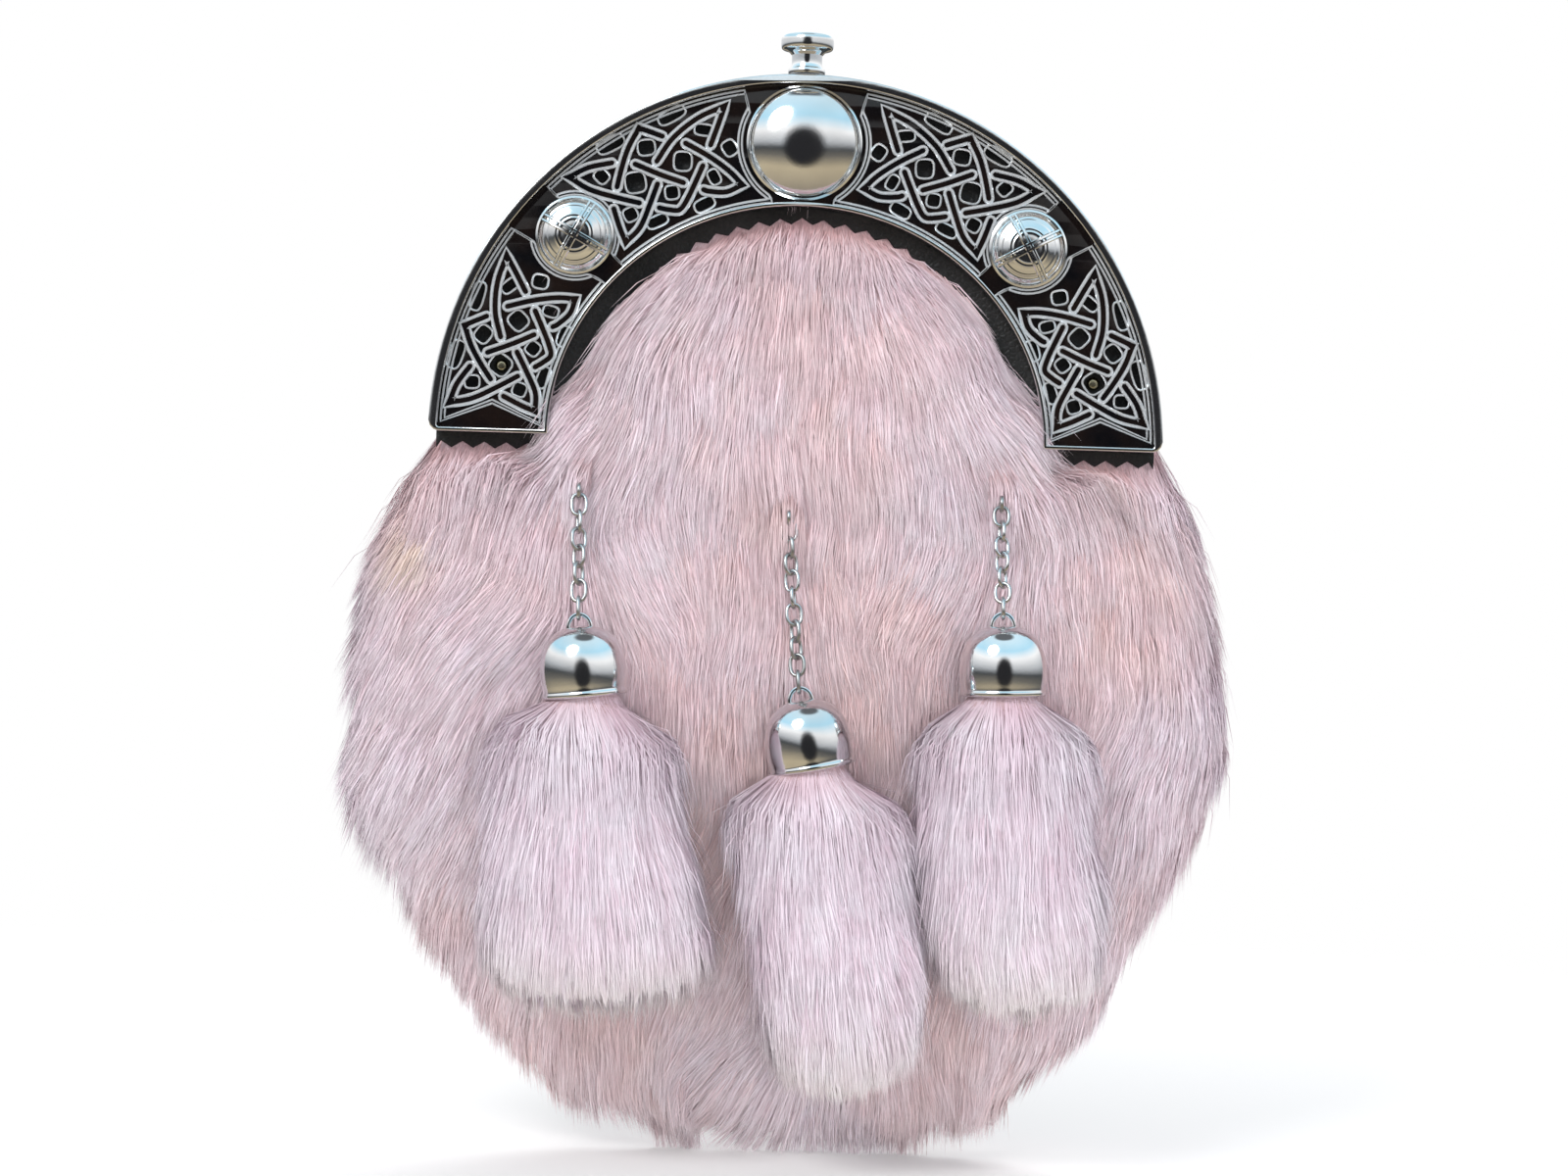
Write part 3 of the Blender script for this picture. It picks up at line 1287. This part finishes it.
# %% Comb table
COMB = [
    {"x": -32, "z": 40, "lean": -24}, {"x": 0, "z": 44, "lean": -3}, {"x": 32, "z": 40, "lean": 24},
    {"x": -47, "z": 8, "lean": -32}, {"x": 47, "z": 8, "lean": 34}, {"x": 0, "z": 16, "lean": 2},
    {"x": -25, "z": 14, "lean": -9}, {"x": 25, "z": 14, "lean": 12}, {"x": -72, "z": -8, "lean": -8},
    {"x": 72, "z": -8, "lean": 8}, {"x": -92, "z": -34, "lean": -28},
    {"x": -92, "z": -70, "lean": -24}, {"x": -85, "z": -100, "lean": -18},
    {"x": -60, "z": -36, "lean": -38}, {"x": -36, "z": -27, "lean": 28},
    {"x": -11, "z": -40, "lean": -8}, {"x": 9, "z": -42, "lean": 14}, {"x": 34, "z": -28, "lean": -26},
    {"x": 57, "z": -34, "lean": 8}, {"x": 88, "z": -20, "lean": 12}, {"x": 93, "z": -45, "lean": 2},
    {"x": 78, "z": -60, "lean": -20}, {"x": 71, "z": -30, "lean": 3}, {"x": 90, "z": -78, "lean": -8},
    {"x": 76, "z": -100, "lean": -16}, {"x": 64, "z": -130, "lean": -14},
    {"x": 40, "z": -140, "lean": 4}, {"x": 14, "z": -146, "lean": -2},
    {"x": -8, "z": -138, "lean": -36}, {"x": -27, "z": -142, "lean": 10},
    {"x": -55, "z": -132, "lean": -4}, {"x": -72, "z": -112, "lean": -14},
    {"x": -14, "z": -85, "lean": -26}, {"x": -16, "z": -60, "lean": 6}, {"x": 24, "z": -75, "lean": -18},
    {"x": 22, "z": -55, "lean": 4},
]
COMB_REACH = 11.0


def ripple(points, wavelength, seed, waves=7):
    """A smooth wandering value of about -1 to 1 at each point, from a few seeded waves."""
    draw = np.random.default_rng(seed)
    total = np.zeros(len(points))
    for _ in range(waves):
        heading = draw.normal(size=3)
        heading /= np.linalg.norm(heading)
        speed = 2 * math.pi / (wavelength * draw.uniform(0.7, 1.5))
        total += np.sin(points @ heading * speed + draw.uniform(0, 2 * math.pi))
    return total / math.sqrt(waves / 2) / 1.6


def blend_table(points, rows, column, reach):
    """The column's value at each point, weighted by nearness to the rows."""
    total = np.zeros(len(points))
    weight = np.full(len(points), 1e-9)
    for row in rows:
        away = (points[:, 0] - row["x"]) ** 2 + (points[:, 2] - row["z"]) ** 2
        near = 1 / (away / reach**2 + 0.2) ** 2
        total += near * row[column]
        weight += near
    return total / weight


# %% Roots
def scatter(skin, count, draw):
    """Points spread evenly over a skin, with its smooth normals, in mm from the cantle's foot."""
    mesh = skin.data
    mesh.calc_loop_triangles()
    corners = np.empty(len(mesh.loop_triangles) * 3, np.int32)
    mesh.loop_triangles.foreach_get("vertices", corners)
    corners = corners.reshape(-1, 3)
    places = np.empty(len(mesh.vertices) * 3)
    mesh.vertices.foreach_get("co", places)
    places = places.reshape(-1, 3) / MM
    bends = np.empty(len(mesh.vertices) * 3)
    mesh.vertices.foreach_get("normal", bends)
    bends = bends.reshape(-1, 3)
    a, b, c = (places[corners[:, k]] for k in range(3))
    areas = np.linalg.norm(np.cross(b - a, c - a), axis=1)
    chosen = draw.choice(len(areas), count, p=areas / areas.sum())
    u, v = draw.random(count), draw.random(count)
    flip = u + v > 1
    u[flip], v[flip] = 1 - u[flip], 1 - v[flip]
    shares = np.stack((1 - u - v, u, v), axis=1)[:, :, None]
    root = (places[corners[chosen]] * shares).sum(axis=1)
    normal = (bends[corners[chosen]] * shares).sum(axis=1)
    normal /= np.linalg.norm(normal, axis=1, keepdims=True)
    root[:, 2] -= FOOT
    return root, normal


def hard_tree(nodes):
    """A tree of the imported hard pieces, to find the hide that they cover."""
    whole = bmesh.new()
    for node in nodes:
        whole.from_mesh(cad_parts[node].data)
    tree = BVHTree.FromBMesh(whole)
    whole.free()
    return tree


def covered(tree, root, normal, reach):
    """True for roots with a hard piece within reach: along the normal at the sides, and level,
    straight forwards or backwards, where the skin faces more to the front or the rear."""
    made = np.zeros(len(root), bool)
    lift = np.array((0, 0, FOOT))
    level = np.sign(normal) * (0, 1, 0)
    headings = np.where(np.abs(normal[:, 1:2]) > 0.25, level, normal)
    for i, (spot, heading) in enumerate(zip((root + lift) * MM, headings)):
        made[i] = tree.ray_cast(Vector(spot), Vector(heading), reach * MM)[0] is not None
    return made


def unit(vectors):
    return vectors / np.maximum(np.linalg.norm(vectors, axis=1, keepdims=True), 1e-9)


# %% [markdown]
# One function turns roots into hair. A hair leaves the skin at a small lift and lies down along
# it. Neighbouring hairs are drawn towards a shared leader, more at the tip than at the root, which
# gives the pointed locks that real fur falls into. Every ribbon is rolled a little about its own
# length, and its shading normals lean towards the skin's, so that the whole coat shades softly.
# Each ribbon has its own cell in the UV map, so that its colour can be baked.


# %% Hair
HAIR_STEPS = (0.0, 0.5, 1.0)
HAIR_WIDTHS = (0.8, 1.0)
CORNERS = 2 * len(HAIR_WIDTHS) + 1
RIBBON = {"faces": (4, 3), "corners": (0, 1, 3, 2, 2, 3, 4), "tints": (0, 0, 1, 1, 2)}
SHADED_AS_SKIN = 0.6


def skin_tree(skin):
    """A tree of the skin's points, and its smooth normals, in mm from the cantle's foot."""
    tree = kdtree.KDTree(len(skin.data.vertices))
    for vert in skin.data.vertices:
        tree.insert(vert.co / MM - Vector((0, 0, FOOT)), vert.index)
    tree.balance()
    bends = np.empty(len(skin.data.vertices) * 3)
    skin.data.vertices.foreach_get("normal", bends)
    return tree, bends.reshape(-1, 3)


def hair_curves(skin, root, normal, comb, length, lift):
    """Centre lines of the hairs, as hair, step, xyz, and the way each one leaves along the skin.
    A hair that would run into the skin is turned along it, and one that leaves it is held back."""
    tree, bends = skin_tree(skin)
    points, here, headings = [root], normal, []
    for k, step in enumerate(np.diff(HAIR_STEPS)):
        slope = (comb * here).sum(axis=1, keepdims=True)
        headings.append(unit(comb - np.where(slope < 0, slope, 0.45 * slope) * here))
        rise = lift * (1 - 0.75 * k)
        heading = unit(headings[-1] + rise[:, None] * here)
        points.append(points[-1] + heading * (length * step)[:, None])
        here = bends[[tree.find(spot)[1] for spot in points[-1]]]
    return np.stack(points, axis=1), headings[0]


def gather_locks(curves, leaders, pull):
    """Draws each hair towards its nearest leader, more towards the tip."""
    tree = kdtree.KDTree(len(leaders))
    for i, leader in enumerate(leaders):
        tree.insert(curves[leader, 0], i)
    tree.balance()
    nearest = np.array([leaders[tree.find(spot)[1]] for spot in curves[:, 0]])
    shares = np.array(HAIR_STEPS)
    amount = (pull[:, None] * shares)[:, :, None]
    return curves + (curves[nearest] - curves) * amount, nearest


def hair_mesh(name, curves, along, normal, width, roll, tints, material):
    """All the hairs as one mesh: each ribbon is two pairs of points and a tip."""
    count, faces = len(curves), len(RIBBON["faces"])
    side = unit(np.cross(along, normal))
    side = unit(side * np.cos(roll)[:, None] + normal * np.sin(roll)[:, None])
    points = []
    for k, share in enumerate(HAIR_WIDTHS):
        half = side * (width * share / 2)[:, None]
        points += [curves[:, k] - half, curves[:, k] + half]
    points.append(curves[:, -1])
    places = np.stack(points, axis=1)
    places[:, :, 2] += FOOT
    base = np.arange(count)[:, None] * CORNERS
    corners = base + np.array(RIBBON["corners"])
    mesh = bpy.data.meshes.new(name)
    mesh.vertices.add(count * CORNERS)
    mesh.vertices.foreach_set("co", (places * MM).astype(np.float32).ravel())
    mesh.loops.add(count * len(RIBBON["corners"]))
    mesh.loops.foreach_set("vertex_index", corners.astype(np.int32).ravel())
    mesh.polygons.add(count * faces)
    starts = np.concatenate(([0], np.cumsum(np.tile(RIBBON["faces"], count))[:-1]))
    mesh.polygons.foreach_set("loop_start", starts.astype(np.int32))
    mesh.update(calc_edges=True)
    mesh.polygons.foreach_set("use_smooth", np.ones(count * faces, bool))
    add_hair_uv(mesh, count)
    tint = mesh.color_attributes.new("tint", "FLOAT_COLOR", "POINT")
    colours = np.ones((count, CORNERS, 4), np.float32)
    colours[:, :, :3] = tints[:, RIBBON["tints"]]
    tint.data.foreach_set("color", colours.ravel())
    facing = np.cross(side, along)
    facing *= np.sign((facing * normal).sum(axis=1, keepdims=True) + 1e-9)
    shading = unit(SHADED_AS_SKIN * normal + (1 - SHADED_AS_SKIN) * facing)
    mesh.normals_split_custom_set_from_vertices(np.repeat(shading, CORNERS, axis=0))
    mesh.materials.append(material)
    return add_object(name, mesh)


def add_hair_uv(mesh, count):
    """A grid cell of the map for each hair, across in u and root to tip in v."""
    grid = math.ceil(math.sqrt(count))
    column, row = np.arange(count) % grid, np.arange(count) // grid
    corner_u = np.array((0, 1, 1, 0, 0, 1, 0.5))
    corner_v = np.array((0, 0, 1, 1, 1, 1, 2)) / 2
    u = (column[:, None] + 0.1 + 0.8 * corner_u) / grid
    v = (row[:, None] + 0.1 + 0.8 * corner_v) / grid
    layer = mesh.uv_layers.new(name="OFBake")
    layer.data.foreach_set("uv", np.stack((u, v), axis=2).astype(np.float32).ravel())


def linear(colour):
    """Screen red, green and blue from 0 to 255, as the linear values that shaders use."""
    share = np.array(colour, float) / 255
    return np.where(share <= 0.04045, share / 12.92, ((share + 0.055) / 1.055) ** 2.4)


# %% [markdown]
# The coat of the pouch is pale pink, with lavender and white patches, peach where the hair opens
# to its roots and one faint beige stain on the left. Each hair runs from a deep root colour to a
# pale tip. The tables give how pale and how peach the coat is at a few places, in the same way as
# the comb table.

# %% Colours of the coat
COAT = {
    "pink": linear((240, 215, 222)), "white": linear((248, 241, 246)),
    "lavender": linear((237, 227, 240)), "peach": linear((240, 209, 202)),
    "root": linear((200, 146, 146)), "stain": linear((240, 220, 194)),
}
PALE = [
    {"x": -94, "z": -60, "pale": 1.0}, {"x": -92, "z": -85, "pale": 0.9},
    {"x": -70, "z": -45, "pale": 0.5}, {"x": 92, "z": -60, "pale": 0.8},
    {"x": 85, "z": -95, "pale": 0.7}, {"x": -47, "z": 5, "pale": 0.7}, {"x": 47, "z": 5, "pale": 0.7},
    {"x": -30, "z": 35, "pale": 0.4}, {"x": 0, "z": 20, "pale": 0.15}, {"x": 0, "z": -20, "pale": 0.1},
    {"x": 70, "z": -40, "pale": 0.2}, {"x": -72, "z": -110, "pale": 0.35},
    {"x": -25, "z": -75, "pale": 0.1}, {"x": 25, "z": -55, "pale": 0.15},
    {"x": 0, "z": -150, "pale": 0.8}, {"x": -50, "z": -130, "pale": 0.2},
    {"x": 45, "z": -135, "pale": 0.2}, {"x": -65, "z": -12, "pale": 0.2},
]
PEACH = [
    {"x": -14, "z": -80, "peach": 0.9}, {"x": 22, "z": -55, "peach": 0.6},
    {"x": -50, "z": -130, "peach": 0.8}, {"x": 45, "z": -132, "peach": 0.8},
    {"x": -20, "z": -125, "peach": 0.9}, {"x": 68, "z": -25, "peach": 0.5},
    {"x": 0, "z": 0, "peach": 0.35}, {"x": 0, "z": 35, "peach": 0.3}, {"x": 90, "z": -60, "peach": 0.1},
    {"x": -90, "z": -50, "peach": 0.15}, {"x": -64, "z": -25, "peach": 0.25},
    {"x": 76, "z": -110, "peach": 0.45}, {"x": -76, "z": -110, "peach": 0.5},
    {"x": -25, "z": -35, "peach": 0.3},
]
STAIN = {"x": -81, "z": -20, "radius": 5.0}


def blend_colours(first, second, share):
    return first + (second - first) * share[:, None]


def coat_tints(root, nearest, draw):
    """Colours of each hair at its root, middle and tip."""
    count = len(root)
    patch = ripple(root, 26, 11) * 0.28 + ripple(root, 9, 12) * 0.15
    pale = np.clip(blend_table(root, PALE, "pale", 14) + patch, 0, 1)
    peach = np.clip(blend_table(root, PEACH, "peach", 14) + ripple(root, 14, 13) * 0.2, 0, 1)
    lock = draw.random(count)[nearest]
    body = blend_colours(COAT["pink"], COAT["peach"], peach * 0.7)
    body = blend_colours(body, COAT["lavender"], pale * (0.35 + 0.5 * lock))
    tip = blend_colours(body, COAT["white"], np.clip(0.30 + 0.5 * pale + 0.25 * lock, 0, 0.9))
    away = np.hypot(root[:, 0] - STAIN["x"], root[:, 2] - STAIN["z"]) / STAIN["radius"]
    stain = np.exp(-(away**2))
    body = blend_colours(body, COAT["stain"], stain * 0.6)
    tip = blend_colours(tip, COAT["stain"], stain * 0.5)
    deep = blend_colours(np.tile(COAT["root"], (count, 1)), body, 0.25 + 0.25 * pale)
    shade = (0.78 + 0.30 * draw.random(count) ** 1.5 + 0.10 * (lock - 0.5))[:, None]
    return np.stack((deep, body, tip), axis=1) * shade[:, None]


# %% [markdown]
# The skin of the pouch lies deeper at the bottom, where the hair hangs free, and shallower at the
# sides and inside the arch. The caps and the chains press it in, so that they lie in the fur.

# %% Skin of the pouch
FUR_DEPTH = {"front": 2.9, "left": 1.6, "right": 0.5, "hanging": 6.5, "in_arch": -2.0}
PRESS = {"cap": {"reach": 10.0, "depth": 3.2, "below_top": 9},
         "chain": {"reach": 3.2, "depth": 0.9, "spots": 7}}


def chain_top(end):
    """Where a chain leaves the fur, as x and z in mm from the cantle's foot."""
    low, high = (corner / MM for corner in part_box(f"chain_staple_{end}"))
    return np.array(((low.x + high.x) / 2, high.z - FOOT))


def pressed_spots():
    """Where caps and chains lie on the coat: x, z, reach and how deep they press it."""
    spots = []
    for end, cap in CAPS.items():
        below = cap["top"] - PRESS["cap"]["below_top"]
        spots.append((cap["x"], below, PRESS["cap"]["reach"], PRESS["cap"]["depth"]))
        start = chain_top(end)
        for share in np.linspace(0.15, 0.9, PRESS["chain"]["spots"]):
            spot = start + (np.array((cap["x"], cap["top"])) - start) * share
            spots.append((*spot, PRESS["chain"]["reach"], PRESS["chain"]["depth"]))
    return spots


PRESSED = pressed_spots()
print(len(PRESSED), "spots where caps and chains press the fur")


def pouch_depth(place, normal):
    """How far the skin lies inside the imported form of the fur."""
    side, front = normal.x, FUR_DEPTH["front"]
    depth = front - (front - FUR_DEPTH["right" if side > 0 else "left"]) * abs(side)
    more_left = 1 - 0.4 * max(side, 0) + 0.6 * max(-side, 0)
    depth += FUR_DEPTH["hanging"] * max(-normal.z, 0) * more_left
    if normal.y < 0:
        depth += FUR_DEPTH["in_arch"] * min(max((place.z + 12) / 14, 0), 1)
        for x, z, reach, press in PRESSED:
            away = ((place.x - x) ** 2 + (place.z - z) ** 2) / reach**2
            depth += press * math.exp(-away) if away < 6 else 0
    return depth


# %% [markdown]
# No hair grows inside the pocket or under the leather. Behind, against the back panel, the hair is
# thinner and broader. Two kinds of hair are special: hair that emerges from under the edge of the
# leather lies flat, and a small tuft above each chain stands up and falls over its first link.

# %% Roots of the coat
POCKET = {"half": 69, "front": 26.5, "top": 49, "bottom": -118, "middle": (0, -12, -34)}
LEATHER_OVER = {"nodes": ["cantle_leather", "top_gusset", "back_panel", "cantle_plate"],
                "reach": 7.5, "emerge": 5, "gusset_foot": 3}
REAR = {"faces": 0.35, "thinned": 0.55, "broader": 1.5}
TUFT = {"half": 3, "rise": 7, "lean": 0.2, "lift": 1.25}
SHARE = 1.0


def lean_vectors(lean):
    turn = np.radians(lean)
    return np.stack((np.sin(turn), np.zeros(len(turn)), -np.cos(turn)), axis=1)


def in_pocket(root, normal):
    made = (np.abs(root[:, 0]) < POCKET["half"]) & (root[:, 1] > -POCKET["front"])
    made &= (root[:, 2] < POCKET["top"]) & (root[:, 2] > POCKET["bottom"])
    return made & ((normal * (np.array(POCKET["middle"]) - root)).sum(axis=1) > 0)


def over_chains(root):
    """True for roots just above a chain's top, whose hair falls over its first link."""
    made = np.zeros(len(root), bool)
    for end in LINKS:
        x, z = chain_top(end)
        rise = root[:, 2] - z
        near = (np.abs(root[:, 0] - x) < TUFT["half"]) & (rise > 0) & (rise < TUFT["rise"])
        made |= near & (root[:, 1] < 0)
    return made


def pouch_roots(skin, count, draw):
    """Roots of the coat with their normals and leans, and which ones emerge or are in a tuft."""
    root, normal = scatter(skin, int(count * 2.2), draw)
    inside = in_pocket(root, normal)
    root, normal = root[~inside], normal[~inside]
    thinned = (normal[:, 1] > REAR["faces"]) & (draw.random(len(root)) < REAR["thinned"])
    root, normal = root[~thinned], normal[~thinned]
    hard, reach = hard_tree(LEATHER_OVER["nodes"]), LEATHER_OVER["reach"]
    under = covered(hard, root, normal, reach)
    lean = blend_table(root, COMB, "lean", COMB_REACH)
    ahead = root + LEATHER_OVER["emerge"] * lean_vectors(lean)
    emerging = under & ~covered(hard, ahead, normal, reach) & (normal[:, 1] < -0.75)
    under_gusset = (root[:, 2] > LEATHER_OVER["gusset_foot"]) & (normal[:, 1] > -0.5)
    kept = np.flatnonzero((~under | emerging) & ~under_gusset)[:count]
    tuft = over_chains(root)
    lean = np.where(tuft, TUFT["lean"] * lean, lean)
    return root[kept], normal[kept], lean[kept], emerging[kept], tuft[kept]


# %% Coat of the pouch
COAT_HAIR = {"count": 165000, "length": 16.5, "shortest": 7, "longest": 21, "lift": 0.25,
             "flat": 0.2, "narrow": 0.17, "broad": 0.29, "roll": 0.45, "strays": 0.02, "pieces": 3}


def pouch_coat(count):
    draw = np.random.default_rng(5)
    skin = skin_of("fur_pouch", "pouch_hide", HIDE, 2.4, 4, pouch_depth)
    root, normal, lean, emerging, tuft = pouch_roots(skin, count, draw)
    count = len(root)
    lean += 7 * ripple(root, 24, 21) + 3 * ripple(root, 8, 22) + draw.normal(0, 4.5, count)
    length = COAT_HAIR["length"] + 2 * ripple(root, 16, 23) + draw.normal(0, 2.5, count)
    length = np.clip(length, COAT_HAIR["shortest"], COAT_HAIR["longest"])
    stray = draw.random(count) < COAT_HAIR["strays"]
    lift = COAT_HAIR["lift"] + 0.06 * ripple(root, 9, 24) + draw.normal(0, 0.05, count)
    lift = np.clip(lift + 0.3 * stray, 0.10, 1.3)
    lift = np.where(emerging, COAT_HAIR["flat"], np.where(tuft, TUFT["lift"], lift))
    curves, along = hair_curves(skin, root, normal, lean_vectors(lean), length, lift)
    leaders = draw.choice(count, count // 60, replace=False)
    curves, _ = gather_locks(curves, leaders, np.full(count, 0.16) * ~stray)
    leaders = draw.choice(count, count // 5, replace=False)
    pull = np.clip(draw.normal(0.45, 0.18, count), 0, 0.85) * ~stray
    curves, nearest = gather_locks(curves, leaders, pull)
    tints = coat_tints(root, nearest, draw)
    broader = np.where(normal[:, 1] > REAR["faces"], REAR["broader"], 1)
    width = draw.uniform(COAT_HAIR["narrow"], COAT_HAIR["broad"], count) * broader
    roll = draw.uniform(-COAT_HAIR["roll"], COAT_HAIR["roll"], count)
    print("coat of the pouch:", count, "hairs in", len(leaders), "locks")
    return skin, curves, along, normal, width, roll, tints


skin, *hairs = pouch_coat(int(COAT_HAIR["count"] * SHARE))
register(skin, "pink_fur", "fur_pouch")
left_to_right = np.argsort(hairs[0][:, 0, 0])
for i, part in enumerate(np.array_split(left_to_right, COAT_HAIR["pieces"])):
    piece = hair_mesh(f"pouch_fur_{i + 1}", *(values[part] for values in hairs), PINK_FUR)
    register(piece, "pink_fur", "fur_pouch")

# %% [markdown]
# A tassel is a bunch of longer, straighter hair bound into its cap. Its hair starts smooth under
# the cap's lip, fans out over a rounded body and ends in a ragged, paler fringe. The same
# functions make it, with its own lean across the tassel. The hem is how much higher the fringe
# ends in front, in mm.

# %% Colours of the tassels
TASSELS = {
    "left": {"left_lean": -17, "right_lean": 17, "lean": 4, "hem": 5, "seed": 40},
    "middle": {"left_lean": -8, "right_lean": 10, "lean": 8, "hem": 1, "seed": 50},
    "right": {"left_lean": -12, "right_lean": 10, "lean": 4, "hem": 2, "seed": 60},
}
BRUSH = {
    "pink": linear((231, 213, 225)), "white": linear((240, 236, 243)),
    "root": linear((204, 164, 176)), "cream": linear((242, 237, 229)),
}


def brush_tints(root, nearest, low, high, draw):
    count = len(root)
    lock = draw.random(count)[nearest]
    down = np.clip((high - root[:, 2]) / (high - low), 0, 1)
    patch = np.clip(0.5 + 0.5 * ripple(root, 12, 31), 0, 1)
    body = blend_colours(np.tile(BRUSH["pink"], (count, 1)), BRUSH["white"], 0.6 * patch)
    tip = blend_colours(body, BRUSH["white"], 0.4 + 0.5 * lock)
    tip = blend_colours(tip, BRUSH["cream"], np.clip((down - 0.45) * 2, 0, 1))
    deep = blend_colours(np.tile(BRUSH["root"], (count, 1)), body, np.full(count, 0.5))
    shade = (0.90 + 0.15 * draw.random(count) + 0.05 * (lock - 0.5))[:, None]
    return np.stack((deep, body, tip), axis=1) * shade[:, None]


# %% Tassels
TASSEL_DEPTH = {"front": 1.7, "side": 1.5, "hanging": 5, "below_lip": 2, "fades": 14}
TASSEL_HAIR = {"count": 27000, "cap_reach": 2.5, "shortest": 5, "longest": 25, "hem_curve": 9,
               "strays": 0.04, "narrow": 0.18, "broad": 0.30, "roll": 0.45}


def tassel_skin(end, lip):
    """The hide of a tassel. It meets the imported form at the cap's lip."""
    def depth(place, normal):
        full = TASSEL_DEPTH["front"] + TASSEL_DEPTH["side"] * abs(normal.x)
        full += TASSEL_DEPTH["hanging"] * max(-normal.z, 0)
        below = lip - place.z - TASSEL_DEPTH["below_lip"]
        return full * min(max(below / TASSEL_DEPTH["fades"], 0), 1)

    return skin_of(f"tassel_fur_{end}", f"tassel_hide_{end}", TASSEL_HIDE, 1.5, 3, depth)


def tassel_roots(skin, end, lip, count, draw):
    root, normal = scatter(skin, int(count * 1.5), draw)
    reach = TASSEL_HAIR["cap_reach"]
    bare = covered(hard_tree([f"tassel_cap_{end}"]), root, normal, reach)
    bare |= root[:, 2] > lip + reach
    return root[~bare][:count], normal[~bare][:count]


def tassel_brush(end, count):
    row, node = TASSELS[end], f"tassel_fur_{end}"
    seed = row["seed"]
    draw = np.random.default_rng(seed)
    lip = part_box(f"tassel_cap_{end}")[0].z / MM - FOOT
    skin = tassel_skin(end, lip)
    root, normal = tassel_roots(skin, end, lip, count, draw)
    count = len(root)
    low, high = (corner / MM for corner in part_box(node))
    bottom, top = low.z - FOOT, high.z - FOOT
    across = (root[:, 0] - (low.x + high.x) / 2) / ((high.x - low.x) / 2)
    down = np.clip((top - root[:, 2]) / (top - bottom), 0, 1)
    spread = np.interp(across, (-1, 0, 1), (row["left_lean"], 0, row["right_lean"]))
    lean = row["lean"] + spread * np.interp(down, (0, 0.4, 1), (2.2, 1.0, 0.35))
    lean += 5 * ripple(root, 16, seed + 1) + 3 * ripple(root, 6, seed + 2)
    lean += draw.normal(0, 4, count)
    rounded = 1 - np.sqrt(np.clip(1 - 0.95 * across**2, 0, 1))
    hem = bottom + TASSEL_HAIR["hem_curve"] * rounded
    hem += row["hem"] * np.clip(-normal[:, 1] + 0.3, 0, 1)
    room = root[:, 2] - hem + 1 + draw.normal(0, 1.8, count) + 2.4 * ripple(root, 3.5, seed + 3)
    length = np.interp(down, (0, 0.25, 1), (13, 20, 20)) + draw.normal(0, 2.2, count)
    length = np.clip(np.minimum(length, room), TASSEL_HAIR["shortest"], TASSEL_HAIR["longest"])
    lift = np.interp(down, (0, 0.2, 1), (0.14, 0.12, 0.15)) + draw.normal(0, 0.035, count)
    stray = draw.random(count) < TASSEL_HAIR["strays"] * down
    lift = np.clip(lift + 0.3 * stray, 0.04, 0.8)
    curves, along = hair_curves(skin, root, normal, lean_vectors(lean), length, lift)
    leaders = draw.choice(count, count // 6, replace=False)
    pull = np.clip(draw.normal(0.45, 0.18, count), 0, 0.85) * np.interp(down, (0, 0.2), (0.5, 1))
    curves, nearest = gather_locks(curves, leaders, pull * ~stray)
    tints = brush_tints(root, nearest, bottom, top, draw)
    width = draw.uniform(TASSEL_HAIR["narrow"], TASSEL_HAIR["broad"], count)
    roll = draw.uniform(-TASSEL_HAIR["roll"], TASSEL_HAIR["roll"], count)
    register(skin, "tassel_fur", node)
    piece = hair_mesh(f"tassel_hair_{end}", curves, along, normal, width, roll, tints, TASSEL_FUR)
    return register(piece, "tassel_fur", node)


for end in TASSELS:
    tassel_brush(end, int(TASSEL_HAIR["count"] * SHARE))

# %% [markdown]
# The pouch hangs with its lowest hair at a pale floor, which is only there to catch a soft shadow.
# It is a disc whose edge fades out, so that no line shows against the white, and it glows a little,
# so that it doesn't look grey beside the paper backdrop.

# %% Floor
FLOOR = {"radius": 0.9, "below": 0.006, "glow": 0.12, "fade_from": 0.25, "fade_to": 0.55}


def make_floor():
    bm = bmesh.new()
    bmesh.ops.create_circle(bm, cap_ends=True, segments=96, radius=FLOOR["radius"])
    drop = Matrix.Translation((0, 0, cad_box[0].z - FLOOR["below"]))
    bmesh.ops.transform(bm, matrix=drop, verts=bm.verts)
    material, tree, shader = new_material("floor", {"Roughness": 0.9, "Specular IOR Level": 0.1})
    shader.inputs["Base Color"].default_value = (0.9, 0.9, 0.9, 1)
    shader.inputs["Emission Color"].default_value = (1, 1, 1, 1)
    shader.inputs["Emission Strength"].default_value = FLOOR["glow"]
    place = tree.nodes.new("ShaderNodeTexCoord")
    length = tree.nodes.new("ShaderNodeVectorMath")
    length.operation = "LENGTH"
    fade = tree.nodes.new("ShaderNodeMapRange")
    fade.interpolation_type = "SMOOTHSTEP"
    fade.inputs["From Min"].default_value = FLOOR["fade_from"]
    fade.inputs["From Max"].default_value = FLOOR["fade_to"]
    fade.inputs["To Min"].default_value = 1.0
    fade.inputs["To Max"].default_value = 0.0
    tree.links.new(place.outputs["Object"], length.inputs[0])
    tree.links.new(length.outputs["Value"], fade.inputs["Value"])
    tree.links.new(fade.outputs["Result"], shader.inputs["Alpha"])
    floor = finish_mesh(bm, "floor", material)
    floor.visible_glossy = False
    return floor


floor = make_floor()
